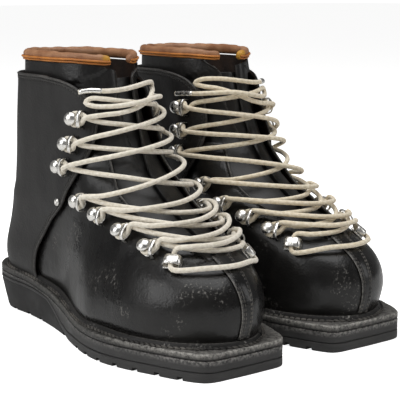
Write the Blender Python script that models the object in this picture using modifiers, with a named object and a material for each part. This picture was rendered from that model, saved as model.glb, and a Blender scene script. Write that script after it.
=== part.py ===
"""A pair of square-toed leather mountaineering boots with a Norwegian welt, built as separate pieces.

Each boot is laid out in its own frame in millimetres: the toe points to -Y, the heel to +Y, the
outer side of the foot is at -X and the middle of the sole is at y = 0.  The left boot is the right
one mirrored.  The leather upper is one skin described by sections stacked in height; every piece of
leather is a patch of that skin at its own depth.
"""
import math

import bpy
import bmesh
from mathutils import Vector

MM = 0.001
BOOT_SPACING = 116.0          # between the middles of the two boots
SOLE_LENGTH = 304.0
WELT_THICK = 4.2
GAP = 0.3                     # between pieces that touch in the real boot
LEATHER = 2.2
CUFF_OUT = 3.3                # outer face of the ankle cuff over the skin
INNER_OUT = -4.6              # outer face of the inner boot under the skin
TONGUE_OUT = -7.8
LACE_DIAMETER = 3.8
HOOK_BASE = 5.4               # radius of the hook's round foot
HOOK_DOME = 5.3
HOOK_NECK = 1.5

# height, how much the rise of the sole lifts it, front y, back y, half widths at the ball outside
# and inside, half width of the heel and shaft, length of the front and back rounding
SECTIONS = (
    (20.5, 1.00, -143.0, 139.0, 55.0, 46.0, 35.0, 78.0, 38.0),
    (30.0, 0.92, -146.5, 140.5, 58.0, 49.0, 37.5, 78.0, 40.0),
    (42.0, 0.80, -149.0, 139.6, 57.5, 48.5, 37.5, 76.0, 40.0),
    (54.0, 0.65, -147.5, 137.2, 54.5, 46.5, 36.8, 73.0, 40.0),
    (65.0, 0.50, -140.5, 134.2, 50.5, 45.5, 36.4, 71.0, 40.0),
    (75.0, 0.38, -126.0, 131.2, 46.0, 46.0, 36.6, 70.0, 40.0),
    (86.0, 0.27, -105.0, 128.4, 42.0, 46.0, 37.2, 68.0, 41.0),
    (98.0, 0.17, -80.0, 125.8, 39.0, 46.0, 37.8, 64.0, 41.0),
    (112.0, 0.08, -56.0, 123.6, 37.0, 45.8, 37.8, 60.0, 41.0),
    (128.0, 0.00, -35.0, 122.0, 36.0, 45.4, 37.6, 56.0, 41.0),
    (145.0, 0.00, -20.0, 120.6, 35.8, 44.8, 37.4, 52.0, 41.0),
    (165.0, 0.00, -9.0, 119.2, 36.2, 44.2, 37.3, 48.0, 41.0),
    (185.0, 0.00, -2.0, 118.0, 36.8, 43.6, 37.2, 46.0, 41.0),
    (215.0, 0.00, 5.0, 116.8, 37.2, 43.0, 37.0, 46.0, 41.0),
)
SOLE_TOP = ((-155, 20.0), (-20, 20.0), (0, 21.5), (20, 25.0), (48, 30.0), (80, 34.0), (116, 36.0),
            (155, 36.5))
BLOCK_TOP = ((2, 0.0), (10, 2.5), (20, 6.0), (33, 14.0), (47, 21.0), (70, 23.5), (110, 25.0),
             (155, 26.0))
TREAD_THICK = ((-10, 7.0), (15, 5.0), (45, 2.6), (155, 2.6))
# sole outline: y, half width outside, half width inside
OUTLINE = (
    (-152.0, 0.0, 0.0), (-151.7, 16.0, 15.0), (-151.0, 30.0, 28.5), (-148.6, 36.0, 33.5),
    (-142.5, 41.0, 37.5), (-126.0, 48.5, 43.5), (-108.0, 54.5, 49.0), (-88.0, 61.0, 52.0),
    (-65.0, 65.5, 52.5), (-40.0, 64.0, 51.0), (-15.0, 58.0, 47.0), (10.0, 50.5, 42.0),
    (35.0, 45.5, 39.5), (60.0, 43.0, 40.0), (85.0, 42.0, 41.0), (109.5, 42.4, 42.4),
    (127.5, 38.5, 38.5), (142.0, 27.3, 27.3), (149.4, 14.5, 14.5), (152.0, 0.0, 0.0),
)
# front edge of the ankle cuff: section number, place round the boot outside and inside
CUFF_EDGE = (
    (0.0, 0.333, 0.333), (1.0, 0.333, 0.333), (3.1, 0.329, 0.329), (5.6, 0.298, 0.298),
    (7.2, 0.248, 0.248), (7.95, 0.222, 0.222), (8.9, 0.173, 0.173), (9.75, 0.130, 0.136),
    (10.42, 0.103, 0.116), (11.1, 0.086, 0.108), (11.63, 0.085, 0.110), (11.92, 0.102, 0.122),
    (12.23, 0.130, 0.146), (12.4, 0.168, 0.182), (12.5, 0.238, 0.243),
)
# edge of the lace facing on the vamp
FACING_EDGE = ((5.35, 0.021), (5.7, 0.040), (6.7, 0.080), (7.4, 0.094), (8.19, 0.105),
               (9.29, 0.090), (10.2, 0.080))
THROAT = 5.35                 # section where the vamp opens
VAMP_ROWS = (0.04, 0.7, 1.5, 2.4, 3.2, 4.0, 4.7, THROAT, 6.0, 6.8, 7.5, 8.2, 9.0, 9.85)
# lace fixtures from the toe up: section number, place round the boot
OUTER_HOOKS = ((5.63, 0.114), (6.32, 0.143), (7.03, 0.171), (7.56, 0.202), (9.16, 0.202),
               (10.15, 0.166), (11.09, 0.136))
INNER_HOOKS = ((5.61, 0.111), (6.24, 0.135), (6.89, 0.159), (7.81, 0.176), (9.28, 0.205),
               (10.28, 0.184), (11.21, 0.171))
OUTER_LOOP = (5.02, 0.089)
INNER_LOOP = (4.88, 0.096)
RIVET = (7.2, 0.260)
HINGE_SECTION = 5.05
TREAD_GROOVES = (-132, -114, -96, -78, -60, -42, -24)
HEEL_GROOVES = (62, 84, 106, 128)

MATERIALS = {
    "black_leather": ((0.012, 0.011, 0.011), 0.42, 0.0),
    "toe_leather": ((0.010, 0.009, 0.009), 0.30, 0.0),
    "cuff_leather": ((0.016, 0.015, 0.015), 0.55, 0.0),
    "lining_leather": ((0.020, 0.018, 0.017), 0.50, 0.0),
    "collar_leather": ((0.265, 0.115, 0.055), 0.60, 0.0),
    "sole_rubber": ((0.014, 0.013, 0.013), 0.70, 0.0),
    "heel_rubber": ((0.009, 0.009, 0.009), 0.75, 0.0),
    "welt_leather": ((0.022, 0.019, 0.017), 0.60, 0.0),
    "insole_board": ((0.240, 0.160, 0.095), 0.80, 0.0),
    "chrome_steel": ((0.560, 0.560, 0.550), 0.22, 1.0),
    "lace_cotton": ((0.790, 0.750, 0.660), 0.90, 0.0),
}


def clear_scene():
    """Start from an empty file."""
    for obj in list(bpy.data.objects):
        bpy.data.objects.remove(obj, do_unlink=True)


def make_materials():
    """One plain material per kind of surface."""
    made = {}
    for name, (colour, roughness, metallic) in MATERIALS.items():
        mat = bpy.data.materials.new(name)
        mat.use_nodes = True
        shader = mat.node_tree.nodes["Principled BSDF"]
        shader.inputs["Base Color"].default_value = (*colour, 1.0)
        shader.inputs["Roughness"].default_value = roughness
        shader.inputs["Metallic"].default_value = metallic
        mat.diffuse_color = (*colour, 1.0)
        made[name] = mat
    return made


def interpolate(table, x, column=1):
    """Straight-line value from rows of (x, value, ...)."""
    if x <= table[0][0]:
        return table[0][column]
    for low, high in zip(table, table[1:]):
        if x <= high[0]:
            share = (x - low[0]) / (high[0] - low[0])
            return low[column] + (high[column] - low[column]) * share
    return table[-1][column]


def section(number):
    """Smooth blend of the section table at a fractional section number."""
    last = len(SECTIONS) - 1
    number = min(max(number, 0.0), float(last))
    index = min(int(number), last - 1)
    share = number - index
    row0 = SECTIONS[max(index - 1, 0)]
    row1 = SECTIONS[index]
    row2 = SECTIONS[index + 1]
    row3 = SECTIONS[min(index + 2, last)]
    values = []
    for a, b, c, d in zip(row0, row1, row2, row3):
        slope1 = (c - a) / 2 if index > 0 else c - b
        slope2 = (d - b) / 2 if index + 2 <= last else c - b
        s2 = share * share
        s3 = s2 * share
        values.append((2 * s3 - 3 * s2 + 1) * b + (s3 - 2 * s2 + share) * slope1
                      + (3 * s2 - 2 * s3) * c + (s3 - s2) * slope2)
    return values


def skin_point(number, turn):
    """Point of the upper's skin: turn 0 is the toe side, 0.25 the outside, 0.5 the heel."""
    height, lift, front, back, out_half, in_half, heel_half, round_f, round_b = section(number)
    y = front + (back - front) * (1 - math.cos(2 * math.pi * turn)) / 2
    outside = math.sin(2 * math.pi * turn) >= 0
    blend = min(max((y + 40) / 85, 0), 1)
    blend = blend * blend * (3 - 2 * blend)
    half = out_half if outside else in_half
    half = half + (heel_half - half) * blend
    f = 1 - min((y - front) / round_f, 1)
    b = 1 - min((back - y) / round_b, 1)
    half *= math.sqrt(max(0.0, 1 - f * f)) * math.sqrt(max(0.0, 1 - b * b))
    return Vector((-half if outside else half, y, height + (interpolate(SOLE_TOP, y) - 20) * lift))


def skin_frame(number, turn):
    """Skin point with its outward normal, the way round (turn grows) and the way up."""
    step = 0.004
    low = max(number - 0.05, 0.0)
    point = skin_point(number, turn)
    along = (skin_point(number, turn + step) - skin_point(number, turn - step)).normalized()
    up = (skin_point(low + 0.1, turn) - skin_point(low, turn)).normalized()
    normal = up.cross(along).normalized()
    return point, normal, along, along.cross(normal).normalized()


def skin(number, turn, depth=0.0):
    """Skin point moved along its normal."""
    point, normal, _, _ = skin_frame(number, turn)
    return point + normal * depth


class Boot:
    """One boot: places local millimetres in the world and names its pieces."""

    def __init__(self, name, middle_x, side, materials, collection):
        self.name = name
        self.middle_x = middle_x
        self.side = side
        self.materials = materials
        self.collection = collection

    def world(self, point):
        """Local millimetres to world metres, mirrored for the left boot."""
        return Vector((self.middle_x + self.side * point[0], point[1], point[2])) * MM

    def turned(self, vector):
        """Local direction to world direction."""
        return Vector((self.side * vector[0], vector[1], vector[2]))

    def add(self, name, points, faces, material):
        """Mesh object from local points."""
        mesh = bpy.data.meshes.new(f"{self.name}_{name}")
        rows = faces if self.side > 0 else [tuple(reversed(face)) for face in faces]
        mesh.from_pydata([self.world(point) for point in points], [], rows)
        mesh.update()
        return self.link(name, mesh, material)

    def link(self, name, data, material):
        """Object in the boot's collection."""
        obj = bpy.data.objects.new(f"{self.name}_{name}", data)
        obj.data.materials.append(self.materials[material])
        self.collection.objects.link(obj)
        return obj


def close_normals(obj):
    """Turn the faces of a closed mesh outward."""
    work = bmesh.new()
    work.from_mesh(obj.data)
    bmesh.ops.recalc_face_normals(work, faces=work.faces)
    work.to_mesh(obj.data)
    work.free()


def patch(boot, name, rows, columns, depth, thick, material, keep=None, dip=None):
    """Patch of the skin thickened inward; columns(row) gives the turns, dip lowers a point."""
    count = len(columns(rows[0]))
    points = [skin(v - (dip(v, t) if dip else 0.0), t, depth) for v in rows for t in columns(v)]
    faces = []
    for i in range(len(rows) - 1):
        for k in range(count - 1):
            if keep and not keep(rows[i], k):
                continue
            a = i * count + k
            faces.append((a, a + count, a + count + 1, a + 1))
    used = sorted({index for face in faces for index in face})
    new = {old: place for place, old in enumerate(used)}
    obj = boot.add(name, [points[index] for index in used],
                   [tuple(new[index] for index in face) for face in faces], material)
    solid = obj.modifiers.new("thickness", "SOLIDIFY")
    solid.thickness = thick * MM
    solid.offset = -1.0
    solid.use_even_offset = True
    return obj


def cuff_turn(number, outside):
    """Place of the cuff's front edge at a section."""
    return interpolate(CUFF_EDGE, number, 1 if outside else 2)


def make_vamp(boot):
    """Lower leather from toe to just behind the cuff's edge, open at the lace facing."""
    half = 13
    split = 2

    def columns(v):
        edge = interpolate(FACING_EDGE, v)
        places = []
        for k in range(-half, half + 1):
            outside = k > 0
            last = cuff_turn(v, outside) + 0.03
            if abs(k) <= split:
                turn = edge * abs(k) / split
            else:
                share = (abs(k) - split) / (half - split)
                turn = edge + (last - edge) * share * (0.55 + 0.45 * share)
            places.append(turn if outside else -turn)
        return places

    def keep(v, k):
        return v < THROAT - 0.01 or not half - split <= k < half + split

    return patch(boot, "vamp", VAMP_ROWS, columns, 0.0, LEATHER, "toe_leather", keep)


def make_cuff(boot):
    """Outer ankle cuff wrapped round the heel down to the welt."""
    rows = [0.12, 1.2, 2.6, 4.2, 5.8, 7.3, 8.1, 9.0, 9.85, 10.5, 11.15, 11.7, 12.0, 12.25, 12.42, 12.5]
    count = 16

    def columns(v):
        first = cuff_turn(v, True)
        last = 1 - cuff_turn(v, False)
        places = []
        for k in range(count + 1):
            share = k / count
            share = 0.35 * share + 0.65 * (1 - math.cos(math.pi * share)) / 2
            places.append(first + (last - first) * share)
        return places

    return patch(boot, "ankle_cuff", rows, columns, CUFF_OUT, LEATHER, "cuff_leather")


def make_inner_boot(boot):
    """Full-height inner boot with two front flaps that nearly meet."""
    rows = [0.45, 1.2, 2.2, 3.3, 4.4, 5.5, 6.8, 8.2, 9.6, 11.1, 12.8]
    count = 22

    def dip(v, t):
        return 0.16 * max(0.0, 1 - min(t % 1.0, -t % 1.0) / 0.12) if v > 12 else 0.0

    def columns(v):
        open_out = 0.006 if v > 5.4 else 0.0
        open_in = -0.052 if v > 5.4 else -0.04
        return [open_out + (1 + open_in - open_out) * k / count for k in range(count)] + [
            1 + open_in, 1 + open_out]

    def keep(v, k):
        return v < 5.4 or k < count

    obj = patch(boot, "inner_boot", rows, columns, INNER_OUT, 2.0, "lining_leather", keep, dip)
    weld = obj.modifiers.new("join", "WELD")
    weld.merge_threshold = 0.00005
    obj.modifiers.move(1, 0)
    return obj


def make_toe_strip(boot):
    """Leather strip sewn down the middle of the toe."""
    edge = FACING_EDGE[0][1]
    return patch(boot, "toe_strip", VAMP_ROWS[1:8], lambda v: [edge * k / 2 for k in range(-2, 3)],
                 1.9, 1.6, "toe_leather")


def make_tongue(boot):
    """Tongue behind the front flaps, hinged where it is sewn to the vamp."""
    rows = [HINGE_SECTION, 5.9, 6.8, 8.2, 9.6, 11.1, 12.5]
    reach = ((5.0, 0.045), (6.0, 0.085), (8.0, 0.105), (13.0, 0.105))

    def columns(v):
        edge = interpolate(reach, v)
        return [edge * k / 3 for k in range(-3, 4)]

    obj = patch(boot, "tongue", rows, columns, TONGUE_OUT, 1.8, "black_leather")
    axis = boot.world(skin(HINGE_SECTION, 0.0, TONGUE_OUT))
    axis.x = boot.middle_x * MM
    for vertex in obj.data.vertices:
        vertex.co -= axis
    obj.location = axis
    return obj


def make_collar(boot):
    """Padded roll round the top of the inner boot."""
    steps = 24
    sides = 8
    points = []
    for i in range(steps + 1):
        turn = 0.022 + 0.93 * i / steps
        base, normal, _, _ = skin_frame(12.9, turn % 1.0)
        drop = 2.6 * max(0.0, 1 - min(turn, 1 - turn) / 0.14)
        ends = min(i, steps - i)
        size = (0.55, 0.86)[ends] if ends < 2 else 1.0
        for k in range(sides):
            angle = 2 * math.pi * k / sides
            points.append(base + normal * (-4.2 + 4.0 * size * math.cos(angle))
                          + Vector((0, 0, 2.2 - drop + 4.6 * size * math.sin(angle))))
    faces = [tuple(range(sides)), tuple(steps * sides + k for k in range(sides))]
    for i in range(steps):
        for k in range(sides):
            a = i * sides + k
            b = i * sides + (k + 1) % sides
            faces.append((a, b, b + sides, a + sides))
    obj = boot.add("collar_pad", points, faces, "collar_leather")
    close_normals(obj)
    return obj


def tread_top(y):
    """Top of the tread layer."""
    return interpolate(BLOCK_TOP, y) + interpolate(TREAD_THICK, y)


def slab(boot, name, outline, top, bottom, material, draw_in=0.0):
    """Layer of the sole between two height curves; draw_in narrows its foot at the heel."""
    points = []
    faces = []
    rings = []
    for y, out_half, in_half in outline:
        foot_y = y - max(y - 100, 0) * draw_in
        ring = [len(points)]
        points.append((-out_half, y, top(y)))
        if out_half + in_half > 0.5:
            ring.append(len(points))
            points.append((in_half, y, top(y)))
        shrink = 1 - draw_in * min(max((y - 20) / 80, 0), 1) * 0.6
        ring.append(len(points))
        if out_half + in_half > 0.5:
            points.append((in_half * shrink, foot_y, bottom(y)))
            ring.append(len(points))
        points.append((-out_half * shrink, foot_y, bottom(y)))
        rings.append(ring)
    for one, two in zip(rings, rings[1:]):
        if len(one) == 2:
            one = [one[0], one[0], one[1], one[1]]
        if len(two) == 2:
            two = [two[0], two[0], two[1], two[1]]
        for k in range(4):
            face = [one[k], one[(k + 1) % 4], two[(k + 1) % 4], two[k]]
            face = list(dict.fromkeys(face))
            if len(face) > 2:
                faces.append(tuple(face))
    for ring in (rings[0], rings[-1]):
        if len(ring) == 4:
            faces.append(tuple(ring))
    obj = boot.add(name, points, faces, material)
    close_normals(obj)
    return obj


def cut_grooves(boot, obj, places, width, depth, cutters):
    """Cross grooves and a middle channel in the tread."""
    boxes = [(0.0, y, 150.0, width) for y in places]
    first = min(places)
    last = max(places)
    boxes.append((0.0, (first + last) / 2, 7.0, last - first))
    work = bmesh.new()
    for x, y, size_x, size_y in boxes:
        made = bmesh.ops.create_cube(work, size=1.0)["verts"]
        high = depth if size_x > 100 else depth - 0.4
        for vertex in made:
            local = Vector((x + vertex.co.x * size_x, y + vertex.co.y * size_y,
                            (vertex.co.z - 0.5) * 6 + 3 + high - 3))
            vertex.co = boot.world(local)
    bmesh.ops.recalc_face_normals(work, faces=work.faces)
    mesh = bpy.data.meshes.new(f"{obj.name}_cutter")
    work.to_mesh(mesh)
    work.free()
    cutter = bpy.data.objects.new(f"{obj.name}_cutter", mesh)
    cutters.objects.link(cutter)
    cutter.hide_render = True
    cutter.display_type = "WIRE"
    cut = obj.modifiers.new("grooves", "BOOLEAN")
    cut.operation = "DIFFERENCE"
    cut.solver = "EXACT"
    cut.use_self = True
    cut.object = cutter


def make_sole(boot, cutters):
    """Tread, heel block and midsole."""
    tread = slab(boot, "outsole", OUTLINE, tread_top,
                 lambda y: interpolate(BLOCK_TOP, y), "sole_rubber")
    cut_grooves(boot, tread, TREAD_GROOVES, 4.0, 2.6, cutters)
    slab(boot, "midsole", OUTLINE, lambda y: interpolate(SOLE_TOP, y) - WELT_THICK - 0.7,
         lambda y: tread_top(y) + GAP, "sole_rubber")
    heel = [row for row in OUTLINE if row[0] > 12]
    start = (12.0, 50.0, 41.8)
    block = slab(boot, "heel_block", [start] + heel,
                 lambda y: interpolate(BLOCK_TOP, y) - GAP, lambda y: 0.0, "heel_rubber", 0.14)
    cut_grooves(boot, block, HEEL_GROOVES, 4.0, 2.6, cutters)


def welt_loops():
    """Matching points of the sole's edge and of the insole's edge."""
    outer = []
    inner = []
    rows = [(y, -a) for y, a, _ in OUTLINE] + [(y, b) for y, _, b in reversed(OUTLINE[1:-1])]
    for index, (y, x) in enumerate(rows):
        share = (y + SOLE_LENGTH / 2) / SOLE_LENGTH
        turn = math.acos(1 - 2 * share) / (2 * math.pi)
        if index >= len(OUTLINE):
            turn = 1 - turn
        outer.append(Vector((x, y, 0)))
        inner.append(skin(0.0, turn, -7.5))
    return outer, inner


def make_welt(boot):
    """Welt ring under the upper's edge and the insole inside it."""
    outer, inner = welt_loops()
    count = len(outer)
    points = []
    for loop in (outer, inner):
        for point in loop:
            top = interpolate(SOLE_TOP, point.y) + 0.2
            points.append((point.x, point.y, top))
            points.append((point.x, point.y, top - 0.2 - WELT_THICK))
    faces = []
    for k in range(count):
        a = 2 * k
        b = 2 * ((k + 1) % count)
        c = a + 2 * count
        d = b + 2 * count
        faces += [(a, b, b + 1, a + 1), (c, c + 1, d + 1, d), (a, c, d, b), (a + 1, b + 1, d + 1, c + 1)]
    ring = boot.add("welt", points, faces, "welt_leather")
    close_normals(ring)
    outline = []
    for index in range(len(OUTLINE)):
        left = inner[index]
        right = inner[(count - index) % count]
        shrink = 1 - 0.4 / max(abs(left.x), 0.4) if abs(left.x) > 0.5 else 0.0
        outline.append((left.y * 0.997, abs(left.x) * shrink, abs(right.x) * shrink))
    slab(boot, "insole", outline, lambda y: interpolate(SOLE_TOP, y) + 1.6,
         lambda y: interpolate(SOLE_TOP, y) - WELT_THICK + GAP, "insole_board")


def place_on_skin(boot, obj, number, turn, depth, out_sign):
    """Stand an object on the skin: its Z along the normal, its X away from the lacing."""
    point, normal, along, _ = skin_frame(number, turn)
    z_axis = boot.turned(normal)
    x_axis = boot.turned(along * out_sign)
    x_axis = (x_axis - z_axis * x_axis.dot(z_axis)).normalized()
    y_axis = z_axis.cross(x_axis)
    matrix = obj.matrix_world.copy()
    for k in range(3):
        matrix[k][0] = x_axis[k]
        matrix[k][1] = y_axis[k]
        matrix[k][2] = z_axis[k]
        matrix[k][3] = boot.world(point + normal * depth)[k]
    obj.matrix_world = matrix


def turned_body(boot, name, profile, segments, material):
    """Solid of revolution from a profile listed from its top to its foot."""
    mesh = bpy.data.meshes.new(f"{boot.name}_{name}")
    mesh.from_pydata([(r * MM, 0, z * MM) for r, z in profile], [(k, k + 1) for k in range(len(profile) - 1)],
                     [])
    obj = boot.link(name, mesh, material)
    screw = obj.modifiers.new("turn", "SCREW")
    screw.axis = "Z"
    screw.steps = segments
    screw.render_steps = segments
    screw.use_merge_vertices = True
    screw.merge_threshold = 0.00001
    screw.use_normal_calculate = False
    return obj


def hook_place(number, turn, outside):
    """Section, turn and depth of a hook's foot."""
    on_cuff = turn > cuff_turn(number, outside)
    return number, turn if outside else 1 - turn, (CUFF_OUT if on_cuff else 0.0) + GAP


def make_hooks(boot):
    """Seven domed hooks and one bent band loop on each side, and the cuff rivets."""
    profile = ((0.0, 9.6), (3.2, 9.1), (HOOK_DOME, 6.9), (HOOK_NECK, 5.7), (HOOK_NECK, 1.0),
               (HOOK_BASE, 0.7), (HOOK_BASE, 0.0), (0.0, 0.0))
    for word, hooks in (("outer", OUTER_HOOKS), ("inner", INNER_HOOKS)):
        outside = word == "outer"
        sign = 1 if outside else -1
        for index, (number, turn) in enumerate(hooks):
            obj = turned_body(boot, f"{word}_hook_{index + 1}", profile, 7, "chrome_steel")
            v, t, depth = hook_place(number, turn, outside)
            place_on_skin(boot, obj, v, t, depth, sign)
        rivet = turned_body(boot, f"{word}_rivet", ((0.0, 1.8), (2.2, 1.1), (3.0, 0.0), (0.0, 0.0)), 8,
                            "chrome_steel")
        place_on_skin(boot, rivet, RIVET[0], RIVET[1] if outside else 1 - RIVET[1],
                      CUFF_OUT + GAP, sign)
        make_loop(boot, word, OUTER_LOOP if outside else INNER_LOOP, outside)


def make_loop(boot, word, place, outside):
    """Bent band that forms a low tunnel for the lace."""
    outer = ((-6.0, 0.0), (6.0, 0.0), (6.6, 3.5), (4.4, 7.0), (-4.4, 7.0), (-6.6, 3.5))
    inner = ((-4.9, 1.0), (4.9, 1.0), (5.5, 3.5), (3.8, 6.0), (-3.8, 6.0), (-5.5, 3.5))
    points = []
    for y in (-4.0, 4.0):
        points += [(x, y, z) for x, z in outer]
        points += [(x, y, z) for x, z in inner]
    faces = []
    for k in range(6):
        n = (k + 1) % 6
        faces += [(k, n, n + 12, k + 12), (k + 6, k + 18, n + 18, n + 6), (k, k + 6, n + 6, n),
                  (k + 12, n + 12, n + 18, k + 18)]
    mesh = bpy.data.meshes.new(f"{boot.name}_{word}_loop")
    mesh.from_pydata([Vector(point) * MM for point in points], [], faces)
    obj = boot.link(f"{word}_loop", mesh, "chrome_steel")
    close_normals(obj)
    number, turn = place
    place_on_skin(boot, obj, number, turn if outside else 1 - turn, GAP, 1 if outside else -1)


def around_hook(number, turn, outside, high_in, high_out):
    """Lace points in above a hook's neck, round its outer side and out below, crossing inside it."""
    v, t, depth = hook_place(number, turn, outside)
    point, normal, along, up = skin_frame(v, t)
    tilt = math.radians(24.0 if number < 8 else 4.0)
    level = along if outside else -along
    out = level * math.cos(tilt) - up * math.sin(tilt)
    side = up * math.cos(tilt) + level * math.sin(tilt)
    middle = point + normal * (depth + 3.1)
    made = [middle - out * 11.5 + normal * (4.9 if high_in else 0.1),
            middle - out * 6.0 + side * 3.4 + normal * (0.9 if high_in else 0.0)]
    for angle in (72, 0, -72):
        a = math.radians(angle)
        made.append(middle + out * (4.4 * math.cos(a)) + side * (4.4 * math.sin(a)))
    made.append(middle - out * 6.0 - side * 3.4 + normal * (0.9 if high_out else 0.0))
    made.append(middle - out * 11.5 + normal * (4.9 if high_out else 0.1))
    return made


def crossing(first, second, high):
    """Points that carry a strand over the front between two fixtures."""
    (v0, t0), (v1, t1) = first, second
    made = []
    for share, lift, raised in ((0.17, 7.6, 12.0), (0.33, 6.4, 11.2), (0.50, 5.8, 10.6),
                                (0.67, 6.4, 11.2), (0.83, 7.6, 12.0)):
        v = v0 + (v1 - v0) * share
        t = t0 + (t1 - t0) * share
        low = min(max((8.8 - v) / 0.9, 0), 1)
        _, _, _, up = skin_frame(v, t)
        made.append(skin(v, t, (raised if high else lift) - 2.4 * low) + up * 2.8 * share * low)
    return made


def lace_run(start, outside, flip):
    """One strand from a bottom loop up to the top hook, crossing at every level."""
    made = []
    place = start
    for index in range(7):
        hook = (OUTER_HOOKS if outside else INNER_HOOKS)[index]
        target = (hook[0], hook[1] if outside else -hook[1])
        high = index % 2 == flip
        made += crossing(place, target, high)
        made += around_hook(*hook, outside, high, not high)
        place = target
        outside = not outside
    return made


def loop_pass(place, outside, rise):
    """Points that carry the lace up through a bottom loop and leave it raised by rise."""
    number, turn = place
    point, normal, along, up = skin_frame(number, turn if outside else 1 - turn)
    out = along if outside else -along
    middle = point + normal * (GAP + 3.5)
    return [middle - up * 7.5 - out * 2.5, middle - up * 4.0, middle + up * 4.0,
            middle + up * 8.0 - out * 2.0 + normal * rise]


# section, place round the boot (outside positive) and height over the skin
BOW_ONE = (
    (11.38, -0.132, 7.0), (11.52, -0.085, 6.6), (11.64, -0.030, 6.5), (11.76, 0.025, 6.5),
    (11.86, 0.065, 6.5), (11.88, 0.094, 6.8), (11.74, 0.106, 7.2), (11.60, 0.088, 7.4),
    (11.56, 0.060, 7.8), (11.54, 0.030, 10.8), (11.58, -0.005, 15.0), (11.72, -0.045, 16.6),
    (11.76, -0.085, 13.4), (11.78, -0.120, 9.0), (11.80, -0.150, 7.2), (11.78, -0.178, 7.0),
)
BOW_TWO = (
    (11.20, 0.070, 9.6), (11.24, 0.035, 9.6), (11.40, -0.005, 10.8), (11.72, -0.040, 11.6),
    (11.96, -0.075, 8.5), (12.04, -0.105, 7.0), (12.14, -0.125, 7.0), (12.24, -0.110, 7.0),
    (12.26, -0.070, 6.8), (12.20, -0.025, 6.8), (12.12, 0.020, 6.8), (12.10, 0.060, 6.8),
    (12.12, 0.092, 6.8), (12.08, 0.118, 7.2),
)


def make_lace(boot):
    """Round lace as one tube."""
    inner_start = (INNER_LOOP[0] + 0.35, -INNER_LOOP[1])
    outer_start = (OUTER_LOOP[0] + 0.35, OUTER_LOOP[1])
    points = [skin(*place) for place in reversed(BOW_ONE)]
    points += list(reversed(lace_run(outer_start, False, 0)))
    points += list(reversed(loop_pass(OUTER_LOOP, True, 3.4)))
    points += [skin(4.60, share, 4.6) for share in (0.045, 0.0, -0.045)]
    points += loop_pass(INNER_LOOP, False, 0.4)
    points += lace_run(inner_start, True, 1)
    points += [skin(*place) for place in BOW_TWO]
    curve = bpy.data.curves.new(f"{boot.name}_lace", "CURVE")
    curve.dimensions = "3D"
    curve.bevel_depth = LACE_DIAMETER / 2 * MM
    curve.bevel_resolution = 2
    curve.use_fill_caps = True
    spline = curve.splines.new("POLY")
    spline.points.add(len(points) - 1)
    for target, point in zip(spline.points, points):
        target.co = (*boot.world(point), 1.0)
    boot.link("lace", curve, "lace_cotton")


def make_boot(name, middle_x, side, materials, collection, cutters):
    """All pieces of one boot."""
    boot = Boot(name, middle_x, side, materials, collection)
    make_sole(boot, cutters)
    make_welt(boot)
    make_vamp(boot)
    make_toe_strip(boot)
    make_cuff(boot)
    make_inner_boot(boot)
    make_tongue(boot)
    make_collar(boot)
    make_hooks(boot)
    make_lace(boot)


def main():
    clear_scene()
    materials = make_materials()
    parts = bpy.data.collections.new("mountaineering_boots")
    cutters = bpy.data.collections.new("cutters")
    for collection in (parts, cutters):
        bpy.context.scene.collection.children.link(collection)
    cutters.hide_render = True
    make_boot("right", -BOOT_SPACING / 2, 1, materials, parts, cutters)
    make_boot("left", BOOT_SPACING / 2, -1, materials, parts, cutters)


main()
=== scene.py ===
"""A pair of square-toed leather mountaineering boots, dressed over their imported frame.

Each boot is laid out in its own millimetres: toe to -Y, heel to +Y, outer side of the foot to -X.
The upper is one skin described by stacked sections, and every leather piece is a sheet laid on that
skin at its own height.  The left boot is the right one mirrored.
"""
import math

import bmesh
import bpy
import numpy as np
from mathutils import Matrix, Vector, kdtree


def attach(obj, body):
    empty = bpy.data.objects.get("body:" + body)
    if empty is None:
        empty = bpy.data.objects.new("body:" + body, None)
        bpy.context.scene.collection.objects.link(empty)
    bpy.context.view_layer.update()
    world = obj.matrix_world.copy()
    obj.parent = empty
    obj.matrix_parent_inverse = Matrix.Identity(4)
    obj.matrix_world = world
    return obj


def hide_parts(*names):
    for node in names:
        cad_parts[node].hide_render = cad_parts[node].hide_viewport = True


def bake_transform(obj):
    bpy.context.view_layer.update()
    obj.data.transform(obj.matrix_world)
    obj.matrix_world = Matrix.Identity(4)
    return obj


bl_info = {
    "name": "Mountaineering boots",
    "version": (1, 0, 0),
    "blender": (4, 5, 0),
    "location": "3D View > Sidebar > Boots",
    "description": "Laces, soles, uppers and metalwork of a pair of welted mountaineering boots",
    "category": "Object",
}

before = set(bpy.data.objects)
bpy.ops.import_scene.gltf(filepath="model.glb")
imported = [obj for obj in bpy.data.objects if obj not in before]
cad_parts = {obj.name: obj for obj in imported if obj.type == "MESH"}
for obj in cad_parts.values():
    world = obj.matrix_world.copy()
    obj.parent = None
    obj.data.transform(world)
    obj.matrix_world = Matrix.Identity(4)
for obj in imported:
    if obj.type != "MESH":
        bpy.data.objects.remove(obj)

MM = 0.001
BOOT_SPACING = 116.0
SOLE_LENGTH = 304.0
WELT_THICK = 4.2
LEATHER = 2.2
CUFF_OUT = 3.3
INNER_OUT = -4.6
TONGUE_OUT = -7.8
GAP = 0.3

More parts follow.
